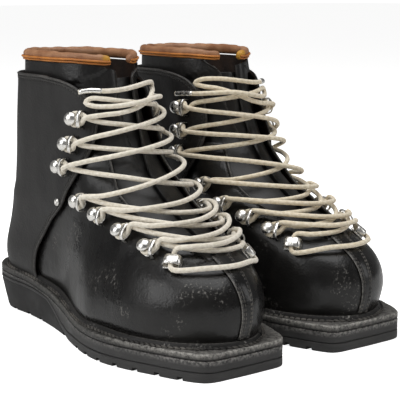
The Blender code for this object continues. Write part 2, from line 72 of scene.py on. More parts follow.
# height, how much the rise of the sole lifts it, front y, back y, half widths at the ball outside
# and inside, half width of the heel and shaft, length of the front and back rounding
SECTIONS = np.array((
    (20.5, 1.00, -143.0, 139.0, 55.0, 46.0, 35.0, 78.0, 38.0),
    (30.0, 0.92, -146.5, 140.5, 58.0, 49.0, 37.5, 78.0, 40.0),
    (42.0, 0.80, -149.0, 139.6, 57.5, 48.5, 37.5, 76.0, 40.0),
    (54.0, 0.65, -147.5, 137.2, 54.5, 46.5, 36.8, 73.0, 40.0),
    (65.0, 0.50, -140.5, 134.2, 50.5, 45.5, 36.4, 71.0, 40.0),
    (75.0, 0.38, -126.0, 131.2, 46.0, 46.0, 36.6, 70.0, 40.0),
    (86.0, 0.27, -105.0, 128.4, 42.0, 46.0, 37.2, 68.0, 41.0),
    (98.0, 0.17, -80.0, 125.8, 39.0, 46.0, 37.8, 64.0, 41.0),
    (112.0, 0.08, -56.0, 123.6, 37.0, 45.8, 37.8, 60.0, 41.0),
    (128.0, 0.00, -35.0, 122.0, 36.0, 45.4, 37.6, 56.0, 41.0),
    (145.0, 0.00, -20.0, 120.6, 35.8, 44.8, 37.4, 52.0, 41.0),
    (165.0, 0.00, -9.0, 119.2, 36.2, 44.2, 37.3, 48.0, 41.0),
    (185.0, 0.00, -2.0, 118.0, 36.8, 43.6, 37.2, 46.0, 41.0),
    (215.0, 0.00, 5.0, 116.8, 37.2, 43.0, 37.0, 46.0, 41.0),
))
SOLE_TOP = ((-155, 20.0), (-20, 20.0), (0, 21.5), (20, 25.0), (48, 30.0), (80, 34.0), (116, 36.0),
            (155, 36.5))
BLOCK_TOP = ((2, 0.0), (10, 2.5), (20, 6.0), (33, 14.0), (47, 21.0), (70, 23.5), (110, 25.0),
             (155, 26.0))
TREAD_THICK = ((-10, 7.0), (15, 5.0), (45, 2.6), (155, 2.6))
# sole outline: y, half width outside, half width inside
OUTLINE = (
    (-152.0, 0.0, 0.0), (-151.7, 16.0, 15.0), (-151.0, 30.0, 28.5), (-148.6, 36.0, 33.5),
    (-142.5, 41.0, 37.5), (-126.0, 48.5, 43.5), (-108.0, 54.5, 49.0), (-88.0, 61.0, 52.0),
    (-65.0, 65.5, 52.5), (-40.0, 64.0, 51.0), (-15.0, 58.0, 47.0), (10.0, 50.5, 42.0),
    (35.0, 45.5, 39.5), (60.0, 43.0, 40.0), (85.0, 42.0, 41.0), (109.5, 42.4, 42.4),
    (127.5, 38.5, 38.5), (142.0, 27.3, 27.3), (149.4, 14.5, 14.5), (152.0, 0.0, 0.0),
)
# front edge of the ankle cuff: section number, place round the boot outside and inside
CUFF_EDGE = (
    (0.0, 0.333, 0.333), (1.0, 0.333, 0.333), (3.1, 0.329, 0.329), (5.6, 0.298, 0.298),
    (7.2, 0.248, 0.248), (7.95, 0.222, 0.222), (8.9, 0.173, 0.173), (9.75, 0.130, 0.136),
    (10.42, 0.103, 0.116), (11.1, 0.086, 0.108), (11.63, 0.085, 0.110), (11.92, 0.102, 0.122),
    (12.23, 0.130, 0.146), (12.4, 0.168, 0.182), (12.5, 0.238, 0.243),
)
CUFF_FOOT = 0.12
CUFF_TOP = 12.5
# edge of the lace facing on the vamp
FACING_EDGE = ((5.35, 0.021), (5.7, 0.040), (6.7, 0.080), (7.4, 0.094), (8.19, 0.105),
               (9.29, 0.090), (10.2, 0.080))
THROAT = 5.35
OUTER_HOOKS = ((5.63, 0.114), (6.32, 0.143), (7.03, 0.171), (7.56, 0.202), (9.16, 0.202),
               (10.15, 0.166), (11.09, 0.136))
INNER_HOOKS = ((5.61, 0.111), (6.24, 0.135), (6.89, 0.159), (7.81, 0.176), (9.28, 0.205),
               (10.28, 0.184), (11.21, 0.171))
OUTER_LOOP = (5.02, 0.089)
INNER_LOOP = (4.88, 0.096)
RIVET = (7.2, 0.260)
HINGE_SECTION = 5.05
# the lace round a hook: height of its middle, radius of its bend, how far in from the neck a
# strand leaves the bend and meets the other one, and how far it is raised there when it is on top
LACE_HEIGHT = 3.1
LACE_BEND = 4.4
LACE_LEAVES = 6.0
LACE_MEETS = 11.5
LACE_OVER = 4.9
TREAD_GROOVES = (-132, -114, -96, -78, -60, -42, -24)
HEEL_GROOVES = (62, 84, 106, 128)
GROOVE_WIDTH = 4.0
GROOVE_DEPTH = 2.6
# the two tails of the bow: section, place round the boot (outside positive), height over the skin
BOW_ONE = (
    (11.38, -0.132, 7.0), (11.52, -0.085, 6.6), (11.64, -0.030, 6.5), (11.76, 0.025, 6.5),
    (11.86, 0.065, 6.5), (11.88, 0.094, 6.8), (11.74, 0.106, 7.2), (11.60, 0.088, 7.4),
    (11.56, 0.060, 7.8), (11.54, 0.030, 10.8), (11.58, -0.005, 15.0), (11.72, -0.045, 16.6),
    (11.76, -0.085, 13.4), (11.78, -0.120, 9.0), (11.80, -0.150, 7.2), (11.78, -0.178, 7.0),
)
BOW_TWO = (
    (11.20, 0.070, 9.6), (11.24, 0.035, 9.6), (11.40, -0.005, 10.8), (11.72, -0.040, 11.6),
    (11.96, -0.075, 8.5), (12.04, -0.105, 7.0), (12.14, -0.125, 7.0), (12.24, -0.110, 7.0),
    (12.26, -0.070, 6.8), (12.20, -0.025, 6.8), (12.12, 0.020, 6.8), (12.10, 0.060, 6.8),
    (12.12, 0.092, 6.8), (12.08, 0.118, 7.2),
)


class BootSizes(bpy.types.PropertyGroup):
    """Sizes that a maker would change."""

    lace_diameter: bpy.props.FloatProperty(
        name="Lace diameter", description="Thickness of the round lace", default=0.0038,
        min=0.002, max=0.006, unit="LENGTH")
    lace_length: bpy.props.FloatProperty(
        name="Lace length", description="Length of each lace along its route", default=2.694,
        unit="LENGTH")
    welt_pitch: bpy.props.FloatProperty(
        name="Welt stitch pitch", description="From one welt stitch to the next", default=0.0046,
        unit="LENGTH")
    seam_pitch: bpy.props.FloatProperty(
        name="Seam stitch pitch", description="From one fine stitch to the next", default=0.0030,
        unit="LENGTH")
    thread_radius: bpy.props.FloatProperty(
        name="Thread radius", description="Radius of the fine thread", default=0.00042,
        unit="LENGTH")
    collar_fill: bpy.props.FloatProperty(
        name="Collar fill", description="How tight the collar roll is stuffed", default=0.6,
        min=0.0, max=1.0, subtype="FACTOR")


class BootColours(bpy.types.PropertyGroup):
    """Colours that a maker would change, as sRGB hex."""

    leather: bpy.props.StringProperty(
        name="Leather", description="Black waxed leather of the upper", default="#131212")
    leather_worn: bpy.props.StringProperty(
        name="Worn leather", description="Where the wax has greyed", default="#2a2928")
    rubber: bpy.props.StringProperty(
        name="Rubber", description="Sole and midsole", default="#201f1f")
    collar: bpy.props.StringProperty(
        name="Collar leather", description="Tan roll round the top", default="#86593a")
    piping: bpy.props.StringProperty(
        name="Piping", description="Orange cord under the collar", default="#c47d34")
    lace: bpy.props.StringProperty(
        name="Lace", description="Unbleached cotton", default="#efe8da")


# ---------------------------------------------------------------- the skin of the boot


def level(table, x, column=1, soft=9.0):
    """Value of a table at x, its corners rounded off over soft millimetres."""
    table = np.array(table)
    steps = np.linspace(-soft, soft, 7)
    return sum(np.interp(np.asarray(x, float) + step, table[:, 0], table[:, column])
               for step in steps) / len(steps)


def run_along(points):
    """Distance run along a path at each of its points."""
    return np.concatenate([[0], np.cumsum(np.linalg.norm(np.diff(points, axis=0), axis=1))])


def smooth_path(points, step, closed=False):
    """Points evenly spaced on a rounded curve through the given ones."""
    points = np.array(points, float)
    if closed:
        points = np.vstack([points[-1:], points, points[:2]])
    else:
        points = np.vstack([2 * points[0] - points[1], points, 2 * points[-1] - points[-2]])
    made = []
    for a, b, c, d in zip(points, points[1:], points[2:], points[3:]):
        t1 = math.sqrt(max(np.linalg.norm(b - a), 1e-6))
        t2 = t1 + math.sqrt(max(np.linalg.norm(c - b), 1e-6))
        t3 = t2 + math.sqrt(max(np.linalg.norm(d - c), 1e-6))
        t = np.linspace(t1, t2, 24, endpoint=False)[:, None]
        ab = a * (t1 - t) / t1 + b * t / t1
        bc = b * (t2 - t) / (t2 - t1) + c * (t - t1) / (t2 - t1)
        cd = c * (t3 - t) / (t3 - t2) + d * (t - t2) / (t3 - t2)
        abc = ab * (t2 - t) / t2 + bc * t / t2
        bcd = bc * (t3 - t) / (t3 - t1) + cd * (t - t1) / (t3 - t1)
        made.append(abc * (t2 - t) / (t2 - t1) + bcd * (t - t1) / (t2 - t1))
    made = np.vstack(made + [points[-2][None]])
    run = run_along(made)
    count = max(int(round(run[-1] / step)), 2)
    places = np.linspace(0, run[-1], count + 1)
    made = np.stack([np.interp(places, run, made[:, k]) for k in range(made.shape[1])], 1)
    return made[:-1] if closed else made


def section(number):
    """Smooth blend of the section table at fractional section numbers."""
    last = len(SECTIONS) - 1
    number = np.clip(np.asarray(number, float), 0.0, last)
    index = np.minimum(number.astype(int), last - 1)
    share = (number - index)[..., None]
    row0, row1 = SECTIONS[np.maximum(index - 1, 0)], SECTIONS[index]
    row2, row3 = SECTIONS[index + 1], SECTIONS[np.minimum(index + 2, last)]
    slope1 = np.where((index > 0)[..., None], (row2 - row0) / 2, row2 - row1)
    slope2 = np.where((index + 2 <= last)[..., None], (row3 - row1) / 2, row2 - row1)
    s2, s3 = share ** 2, share ** 3
    values = ((2 * s3 - 3 * s2 + 1) * row1 + (s3 - 2 * s2 + share) * slope1
              + (3 * s2 - 2 * s3) * row2 + (s3 - s2) * slope2)
    return np.moveaxis(values, -1, 0)


def skin_point(number, turn):
    """Points of the upper's skin: turn 0 is the toe side, 0.25 the outside, 0.5 the heel."""
    number, turn = np.broadcast_arrays(np.asarray(number, float), np.asarray(turn, float))
    height, lift, front, back, out_half, in_half, heel_half, round_f, round_b = section(number)
    y = front + (back - front) * (1 - np.cos(2 * np.pi * turn)) / 2
    outside = np.sin(2 * np.pi * turn) >= 0
    blend = np.clip((y + 40) / 85, 0, 1)
    blend = blend * blend * (3 - 2 * blend)
    half = np.where(outside, out_half, in_half)
    half = half + (heel_half - half) * blend
    f = 1 - np.minimum((y - front) / round_f, 1)
    b = 1 - np.minimum((back - y) / round_b, 1)
    half = half * np.sqrt(np.maximum(0, 1 - f * f)) * np.sqrt(np.maximum(0, 1 - b * b))
    return np.stack([np.where(outside, -half, half), y, height + (level(SOLE_TOP, y) - 20) * lift],
                    -1)


def unit(vectors):
    """Vectors of length one."""
    return vectors / np.maximum(np.linalg.norm(vectors, axis=-1, keepdims=True), 1e-12)


def skin_frame(number, turn):
    """Skin points with outward normals, the way round (turn grows) and the way up."""
    number = np.asarray(number, float)
    low = np.clip(number - 0.05, 0.0, None)
    along = unit(skin_point(number, turn + 0.004) - skin_point(number, turn - 0.004))
    up = unit(skin_point(low + 0.1, turn) - skin_point(low, turn))
    normal = unit(np.cross(up, along))
    return skin_point(number, turn), normal, along, unit(np.cross(along, normal))


def skin(number, turn, depth=0.0):
    """Skin points moved along their normals."""
    point, normal, _, _ = skin_frame(number, turn)
    return point + normal * np.asarray(depth, float)[..., None]


CUFF_LINE = {True: smooth_path([(v * 20, t * 300) for v, t, _ in CUFF_EDGE], 0.5) / (20, 300),
             False: smooth_path([(v * 20, t * 300) for v, _, t in CUFF_EDGE], 0.5) / (20, 300)}


def cuff_turn(number, outside):
    """Place of the cuff's front edge at a section."""
    return np.interp(number, CUFF_LINE[outside][:, 0], CUFF_LINE[outside][:, 1])


def facing_turn(number):
    """Place of the lace facing's edge at a section."""
    table = np.array(FACING_EDGE)
    return sum(np.interp(np.asarray(number, float) + o, table[:, 0], table[:, 1])
               for o in (-0.12, -0.06, 0, 0.06, 0.12)) / 5


def ease(x, low, high):
    """0 below low, 1 above high, smooth between."""
    s = np.clip((np.asarray(x, float) - low) / (high - low), 0, 1)
    return s * s * (3 - 2 * s)


def swell(x, middle, half):
    """A rounded hump of height 1 at middle, gone at half to each side."""
    return np.cos(np.clip((np.asarray(x, float) - middle) / half, -1, 1) * np.pi / 2) ** 2


class Boot:
    """One boot: places local millimetres in the world and names its pieces."""

    def __init__(self, name, side):
        self.name = name
        self.side = side
        self.middle = -side * BOOT_SPACING / 2
        self.body = f"{name}_boot"

    def world(self, points):
        """Local millimetres to world metres, mirrored for the left boot."""
        made = np.array(points, float)
        made[..., 0] = self.middle + self.side * made[..., 0]
        return made * MM

    def turned(self, vectors):
        """Local directions to world directions."""
        made = np.array(vectors, float)
        made[..., 0] *= self.side
        return made


BOOTS = (Boot("right", 1), Boot("left", -1))


# ---------------------------------------------------------------- meshes


def put(name, mesh, *materials):
    """Object in the scene with its materials."""
    obj = bpy.data.objects.new(name, mesh)
    for material in materials:
        mesh.materials.append(material)
    bpy.context.scene.collection.objects.link(obj)
    return obj


def mesh_piece(boot, name, points, faces, *materials, worn=None, uv=None):
    """Smooth mesh of a boot from local points; worn is how rubbed each point is."""
    mesh = bpy.data.meshes.new(f"{boot.name}_{name}")
    rows = faces if boot.side > 0 else [tuple(reversed(face)) for face in faces]
    mesh.from_pydata(boot.world(points).tolist(), [], rows)
    if worn is not None:
        mesh.attributes.new("worn", "FLOAT", "POINT").data.foreach_set(
            "value", np.asarray(worn, np.float32).ravel())
    if uv is not None:
        layer = mesh.uv_layers.new(name="run")
        corners = [corner for k, face in enumerate(faces)
                   for corner in (uv[k] if boot.side > 0 else reversed(uv[k]))]
        layer.data.foreach_set("uv", np.array(corners, np.float32).ravel())
    mesh.polygons.foreach_set("use_smooth", [True] * len(mesh.polygons))
    mesh.update()
    return put(f"{boot.name}_{name}", mesh, *materials)


def bake(obj):
    """Turn an object's modifiers into its own plain mesh."""
    graph = bpy.context.evaluated_depsgraph_get()
    mesh = bpy.data.meshes.new_from_object(obj.evaluated_get(graph))
    obj.modifiers.clear()
    old = obj.data
    obj.data = mesh
    if isinstance(old, bpy.types.Mesh) and not old.users:
        bpy.data.meshes.remove(old)
    return obj


def seat(obj, boot, slot, *nodes):
    """Give a finished piece its body and hide the frame nodes it stands for; slot is not used."""
    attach(obj, boot.body)
    if nodes:
        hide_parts(*(f"{boot.name}_{node}" for node in nodes))
    return obj


def ring_faces(rings, size, closed=True):
    """Faces between rings of size points that are listed one after the other."""
    faces = []
    for i in range(rings - 1):
        for k in range(size if closed else size - 1):
            a, b = i * size + k, i * size + (k + 1) % size
            faces.append((a, b, b + size, a + size))
    return faces


def face_outward(mesh):
    """Turn the faces of a closed mesh outward."""
    work = bmesh.new()
    work.from_mesh(mesh)
    bmesh.ops.recalc_face_normals(work, faces=work.faces)
    work.to_mesh(mesh)
    work.free()


def grid_faces(rows, columns, keep=None):
    """Faces of a grid whose rows climb and whose columns go round the boot."""
    faces = []
    for i in range(rows - 1):
        for k in range(columns - 1):
            if keep is None or keep[i, k]:
                a = i * columns + k
                faces.append((a, a + columns, a + columns + 1, a + 1))
    return faces


def near(points, path):
    """Distance from each point to a dense path, in millimetres."""
    tree = kdtree.KDTree(len(path))
    for index, point in enumerate(path):
        tree.insert(point, index)
    tree.balance()
    flat = points.reshape(-1, 3)
    return np.array([tree.find(point)[2] for point in flat]).reshape(points.shape[:-1])


def sheet_columns(v, first, last, close, spare, close_end=True):
    """Places along each row: fine steps beside the edges, even ones between."""
    start = np.array(close, float)
    turns = []
    for number, a, b in zip(v, first, last):
        dense = np.linspace(a, b, 240)
        run = run_along(skin_point(number, dense))
        scale = min(1.0, 0.3 * run[-1] / start[-1])
        head = start * scale
        tail = run[-1] - head[::-1] if close_end else np.array([run[-1]])
        middle = np.linspace(head[-1], tail[0], spare + 2)[1:-1]
        turns.append(np.interp(np.concatenate([head, middle, tail]), run, dense))
    return np.array(turns)


def leather_sheet(boot, name, v, t, depth, thick, materials, worn=None, keep=None, edge=0.6):
    """Sheet of leather on the skin with thickness and rounded edges."""
    points = skin(v, t, depth)
    rows, columns = t.shape
    faces = grid_faces(rows, columns, keep)
    used = np.unique(np.array(faces))
    new = np.full(rows * columns, -1)
    new[used] = np.arange(len(used))
    flat = points.reshape(-1, 3)[used]
    rubbing_and_painted_highlight = None if worn is None else np.asarray(worn).reshape(-1)[used]
    obj = mesh_piece(boot, name, flat, [tuple(new[list(face)].tolist()) for face in faces],
                     *materials, worn=rubbing_and_painted_highlight)
    solid = obj.modifiers.new("thickness", "SOLIDIFY")
    solid.thickness = thick * MM
    solid.offset = -1.0
    solid.material_offset = len(materials) - 1
    rim = obj.modifiers.new("rounded edge", "BEVEL")
    rim.width = edge * MM
    rim.segments = 2
    rim.limit_method = "ANGLE"
    rim.angle_limit = math.radians(65)
    return bake(obj)


def tube(points, radius, sides):
    """Round tube along points: vertices, faces and the run of each corner."""
    points = np.array(points, float)
    radius = np.broadcast_to(radius, len(points))
    ahead = unit(np.gradient(points, axis=0))
    across = unit(np.cross(ahead[0], (0.3, 0.2, 0.93)))
    run = run_along(points) * MM
    angles = np.linspace(0, 2 * np.pi, sides, endpoint=False)[:, None]
    rings = []
    for point, way, r in zip(points, ahead, radius):
        across = unit(across - way * across.dot(way))
        other = np.cross(way, across)
        rings.append(point + r * (np.cos(angles) * across + np.sin(angles) * other))
    count = len(points)
    faces, corners = ring_faces(count, sides), []
    for v0, v1 in zip(run, run[1:]):
        for k in range(sides):
            u0, u1 = k / sides, (k + 1) / sides
            corners.append(((u0, v0), (u1, v0), (u1, v1), (u0, v1)))
    faces.append(tuple(range(sides))[::-1])
    corners.append([(0.0, 0.0)] * sides)
    faces.append(tuple((count - 1) * sides + k for k in range(sides)))
    corners.append([(0.0, run[-1])] * sides)
    return np.vstack(rings), faces, corners


# ---------------------------------------------------------------- materials


def linear(colour):
    """sRGB hex to linear red, green, blue and alpha."""
    parts = [int(colour[k:k + 2], 16) / 255 for k in (1, 3, 5)]
    return (*((c / 12.92 if c <= 0.04045 else ((c + 0.055) / 1.055) ** 2.4) for c in parts), 1.0)


def feed(tree, made, values):
    """Give a node's inputs values or the sockets that feed them."""
    for key, value in values.items():
        if isinstance(value, bpy.types.NodeSocket):
            tree.links.new(value, made.inputs[key])
        else:
            made.inputs[key].default_value = value


def node(tree, kind, values=None, **settings):
    """Add a node, set its properties and feed its inputs."""
    made = tree.nodes.new(kind)
    for key, value in settings.items():
        setattr(made, key, value)
    feed(tree, made, values or {})
    return made


def new_material(name):
    """Empty material, its tree and a socket with the place on the piece."""
    material = bpy.data.materials.new(name)
    material.use_nodes = True
    tree = material.node_tree
    return material, tree, node(tree, "ShaderNodeTexCoord").outputs["Object"]


def surface(material, values):
    """Feed the inputs of a material's surface and give the material back."""
    tree = material.node_tree
    feed(tree, tree.nodes["Principled BSDF"], values)
    return material


def stretched(tree, place, scale):
    """Place with its axes scaled, so that a pattern laid on it is drawn out."""
    return node(tree, "ShaderNodeMapping", {"Vector": place, "Scale": scale}).outputs[0]


def noise(tree, place, scale, detail, rough=0.5):
    """Cloudy noise between 0 and 1."""
    return node(tree, "ShaderNodeTexNoise", {"Vector": place, "Scale": scale, "Detail": detail,
                                             "Roughness": rough}).outputs[0]


def pores(tree, place, scale):
    """Rounded cells like the pores of leather."""
    return node(tree, "ShaderNodeTexVoronoi", {"Vector": place, "Scale": scale},
                feature="SMOOTH_F1").outputs[0]


def worn(tree):
    """How rubbed the piece is at a point; on the collar roll, how strongly a highlight is painted
    there.
    """
    return node(tree, "ShaderNodeAttribute", attribute_name="worn").outputs["Fac"]


def ramp(tree, value, low, high, start=0.0, end=1.0):
    """Value that is start at low and end at high, and no further beyond them."""
    return node(tree, "ShaderNodeMapRange", {0: value, 1: low, 2: high, 3: start,
                                             4: end}).outputs[0]


def maths(tree, operation, first, second, clamp=False):
    """Sum, product or other result of two values."""
    return node(tree, "ShaderNodeMath", {0: first, 1: second}, operation=operation,
                use_clamp=clamp).outputs[0]


def mixed(tree, share, first, second):
    """Value between two values."""
    return node(tree, "ShaderNodeMix", {0: share, 2: first, 3: second},
                data_type="FLOAT").outputs[0]


def tinted(tree, share, first, second):
    """Colour between two colours, each in hex or from a socket."""
    first, second = (linear(c) if isinstance(c, str) else c for c in (first, second))
    return node(tree, "ShaderNodeMix", {0: share, 6: first, 7: second},
                data_type="RGBA").outputs[2]


def bumped(tree, height, strength, distance, over=None):
    """Surface raised by a height, on top of another bump if one is given."""
    values = {"Height": height, "Strength": strength, "Distance": distance}
    if over is not None:
        values["Normal"] = over
    return node(tree, "ShaderNodeBump", values).outputs[0]


def boot_leather(name, dark, pale, smooth, rough, grain, streaks, scuffs, rub_colour):
    """Waxed full-grain leather: greyed wax in streaks, fine grain, soft dents, rubbed edges."""
    material, tree, place = new_material(name)
    tall = stretched(tree, place, (1.0, 1.0, 0.22))
    wax = mixed(tree, streaks, noise(tree, place, 24.0, 3.0), noise(tree, tall, 95.0, 4.0, 0.55))
    base = tinted(tree, ramp(tree, wax, 0.36, 0.68), dark, pale)
    # scuffs are a few millimetres long where the wax is scratched through
    speck = noise(tree, place, 420.0, 3.0, 0.7)
    where = ramp(tree, noise(tree, place, 38.0, 1.0), 0.60, 0.70)
    hit = maths(tree, "MULTIPLY", where, ramp(tree, speck, 0.56, 0.66))
    hit = maths(tree, "MULTIPLY", hit, scuffs)
    rubbed = maths(tree, "MULTIPLY", worn(tree), ramp(tree, speck, 0.30, 0.62))
    bare = maths(tree, "MAXIMUM", rubbed, hit, clamp=True)
    gloss = ramp(tree, wax, 0.3, 0.7, smooth, rough)
    fine = bumped(tree, pores(tree, place, 700.0), grain, 0.0005)
    return surface(material, {
        "Base Color": tinted(tree, bare, base, rub_colour),
        "Roughness": mixed(tree, bare, gloss, 0.72),
        "Normal": bumped(tree, noise(tree, place, 55.0, 2.0), 0.35, 0.0022, fine),
        "IOR": 1.42})


def moulded_rubber(name, colour, dusty, rough):
    """Moulded rubber: dull, faintly mottled, with dust held in its fine moulding marks."""
    material, tree, place = new_material(name)
    bands = noise(tree, stretched(tree, place, (0.25, 0.25, 1.0)), 330.0, 3.0)
    cloud = noise(tree, place, 40.0, 4.0)
    marks = mixed(tree, 0.45, cloud, bands)
    base = tinted(tree, ramp(tree, marks, 0.38, 0.66), colour, dusty)
    ragged = ramp(tree, noise(tree, place, 520.0, 2.0), 0.36, 0.64)
    bare = maths(tree, "MULTIPLY", worn(tree), ragged, clamp=True)
    return surface(material, {
        "Base Color": tinted(tree, bare, base, "#8f8c88"),
        "Roughness": ramp(tree, cloud, 0.3, 0.7, rough - 0.12, rough + 0.1),
        "Normal": bumped(tree, marks, 0.3, 0.0006),
        "IOR": 1.52})


def chromed_steel(name):
    """Chromed steel: mirror bright with a film of fine scratches and dull specks."""
    material, tree, place = new_material(name)
    film = noise(tree, place, 600.0, 3.0)
    return surface(material, {
        "Base Color": tinted(tree, film, "#ecebe8", "#cfccc6"),
        "Roughness": ramp(tree, film, 0.35, 0.7, 0.2, 0.38),
        "Normal": bumped(tree, film, 0.12, 0.0004),
        "Metallic": 1.0})


def braided_cotton(name, colour, shade):
    """Round braided cotton: eight strands crossing, drawn half as fine as they need to show, with
    painted shade in the grooves between them.
    """
    material, tree, place = new_material(name)
    run = node(tree, "ShaderNodeUVMap", uv_map="run").outputs[0]
    parts = node(tree, "ShaderNodeSeparateXYZ", {0: run}).outputs
    # four strands each way round, one crossing about every 3 mm
    around = maths(tree, "MULTIPLY", parts[0], 4.0)
    along = maths(tree, "MULTIPLY", parts[1], 330.0)
    waves = [maths(tree, "PINGPONG", maths(tree, lean, around, along), 1.0)
             for lean in ("ADD", "SUBTRACT")]
    weave = maths(tree, "MAXIMUM", *waves)
    dirt = ramp(tree, noise(tree, place, 260.0, 3.0), 0.35, 0.75, 0.0, 0.5)
    # painted shade: where the weave is low, in the grooves between the strands, the colour is
    # darkened towards the shade colour, together with the dirt
    low = ramp(tree, weave, 0.35, 0.75, 0.45, 0.0)
    return surface(material, {
        "Base Color": tinted(tree, maths(tree, "MAXIMUM", dirt, low, clamp=True), colour, shade),
        "Normal": bumped(tree, weave, 0.6, 0.0004),
        "Roughness": 0.92, "IOR": 1.5, "Sheen Weight": 0.25})


def soft_leather(name, colour, shade, painted_highlight_spot):
    """Unwaxed glove leather: fine grain, handling marks, and a bright patch at the front that is a
    painted highlight.
    """
    material, tree, place = new_material(name)
    base = tinted(tree, ramp(tree, noise(tree, place, 75.0, 4.0), 0.36, 0.66), shade, colour)
    fine = bumped(tree, pores(tree, place, 800.0), 0.25, 0.0005)
    return surface(material, {
        # painted highlight: where the per-point attribute is set, the colour goes to the bright spot
        # colour
        "Base Color": tinted(tree, worn(tree), base, painted_highlight_spot),
        "Normal": bumped(tree, noise(tree, place, 190.0, 3.0), 0.3, 0.0012, fine),
        "Roughness": 0.5, "IOR": 1.48})


def waxed_thread(name, colour, shade):
    """Waxed linen thread: twisted plies seen as fine ridges, with dirt in places."""
    material, tree, place = new_material(name)
    dirt = ramp(tree, noise(tree, place, 45.0, 3.0), 0.4, 0.64)
    return surface(material, {
        "Base Color": tinted(tree, dirt, shade, colour),
        "Normal": bumped(tree, noise(tree, place, 900.0, 2.0), 0.4, 0.0003),
        "Roughness": 0.6, "IOR": 1.45})


def finish(name):
    """The boot's material of that name, made the first time it is asked for."""
    if name in bpy.data.materials:
        return bpy.data.materials[name]
    own = bpy.context.scene.boot_colours
    maker, *given = {
        "waxed_side_leather": (boot_leather, own.leather, own.leather_worn, 0.46, 0.62, 0.35, 0.6,
                               0.15, "#6f6c68"),
        "polished_toe_leather": (boot_leather, "#0d0c0c", "#1d1c1b", 0.22, 0.38, 0.22, 0.3, 0.5,
                                 "#85827d"),
        "polished_inner_leather": (boot_leather, "#100f0f", "#201f1e", 0.30, 0.46, 0.22, 0.4, 0.1,
                                   "#6d6a66"),
        "scuffed_welt_leather": (boot_leather, "#141312", "#282625", 0.5, 0.7, 0.5, 0.3, 0.8,
                                 "#a5a29c"),
        "dark_lining_leather": (soft_leather, "#33261e", "#1c1512", "#33261e"),
        # the last colour of the tan leather is the painted highlight on the collar roll
        "tan_glove_leather": (soft_leather, "#a67a58", own.collar, "#c08d2e"),
        "orange_piping_leather": (soft_leather, own.piping, "#a8662a", own.piping),
        "insole_leatherboard": (soft_leather, "#8a6a4c", "#5d432e", "#8a6a4c"),
        "moulded_sole_rubber": (moulded_rubber, own.rubber, "#343332", 0.62),
        "moulded_heel_rubber": (moulded_rubber, "#100f0f", "#1b1a1a", 0.7),
        # the second colour of each cotton is its dirt and also the painted shade in the grooves of
        # the braid
        "unbleached_cotton": (braided_cotton, own.lace, "#c9bda6"),
        "yellowed_cotton": (braided_cotton, "#ebe0ca", "#c4b08c"),
        "pale_waxed_thread": (waxed_thread, "#6f6b65", "#262423"),
        "black_waxed_thread": (waxed_thread, "#3d3b39", "#1b1a1a"),
        "chromed_steel": (chromed_steel,),
    }[name]
    return maker(name, *given)


# ---------------------------------------------------------------- repeated things


def new_tree(name, inputs):
    """Geometry Nodes tree with named inputs; returns it with its first and last nodes."""
    tree = bpy.data.node_groups.new(name, "GeometryNodeTree")
    tree.interface.new_socket("Geometry", in_out="INPUT", socket_type="NodeSocketGeometry")
    for label, kind, value in inputs:
        socket = tree.interface.new_socket(label, in_out="INPUT", socket_type=kind)
        if value is not None:
            socket.default_value = value
    tree.interface.new_socket("Geometry", in_out="OUTPUT", socket_type="NodeSocketGeometry")
    return tree, tree.nodes.new("NodeGroupInput"), tree.nodes.new("NodeGroupOutput")


def stitch_tree():
    """Tree that lays a row of stitches along every edge chain of a mesh."""
    if "stitch_rows" in bpy.data.node_groups:
        return bpy.data.node_groups["stitch_rows"]
    tree, start, end = new_tree("stitch_rows", (
        ("Pitch", "NodeSocketFloat", 0.003), ("Stitch length", "NodeSocketFloat", 0.0022),
        ("Thread radius", "NodeSocketFloat", 0.0004), ("Thread", "NodeSocketMaterial", None)))
    line = node(tree, "GeometryNodeMeshToCurve", {"Mesh": start.outputs["Geometry"]})
    spaced = node(tree, "GeometryNodeResampleCurve", {
        "Curve": line.outputs[0], "Length": start.outputs["Pitch"]}, mode="LENGTH")
    ball = node(tree, "GeometryNodeMeshUVSphere", {"Segments": 6, "Rings": 5, "Radius": 1.0})
    half = maths(tree, "MULTIPLY", start.outputs["Stitch length"], 0.5)
    size = node(tree, "ShaderNodeCombineXYZ", {
        0: start.outputs["Thread radius"], 1: start.outputs["Thread radius"], 2: half})
    stitch = node(tree, "GeometryNodeTransform", {"Geometry": ball.outputs["Mesh"],
                                                  "Scale": size.outputs[0]})
    way = node(tree, "GeometryNodeInputTangent")
    turn = node(tree, "FunctionNodeAlignRotationToVector", {"Vector": way.outputs[0]}, axis="Z")
    rows = node(tree, "GeometryNodeInstanceOnPoints", {
        "Points": spaced.outputs[0], "Instance": stitch.outputs[0], "Rotation": turn.outputs[0]})
    real = node(tree, "GeometryNodeRealizeInstances", {"Geometry": rows.outputs[0]})
    smooth = node(tree, "GeometryNodeSetShadeSmooth", {"Geometry": real.outputs[0]})
    done = node(tree, "GeometryNodeSetMaterial", {"Geometry": smooth.outputs[0],
                                                  "Material": start.outputs["Thread"]})
    tree.links.new(done.outputs[0], end.inputs[0])
    return tree


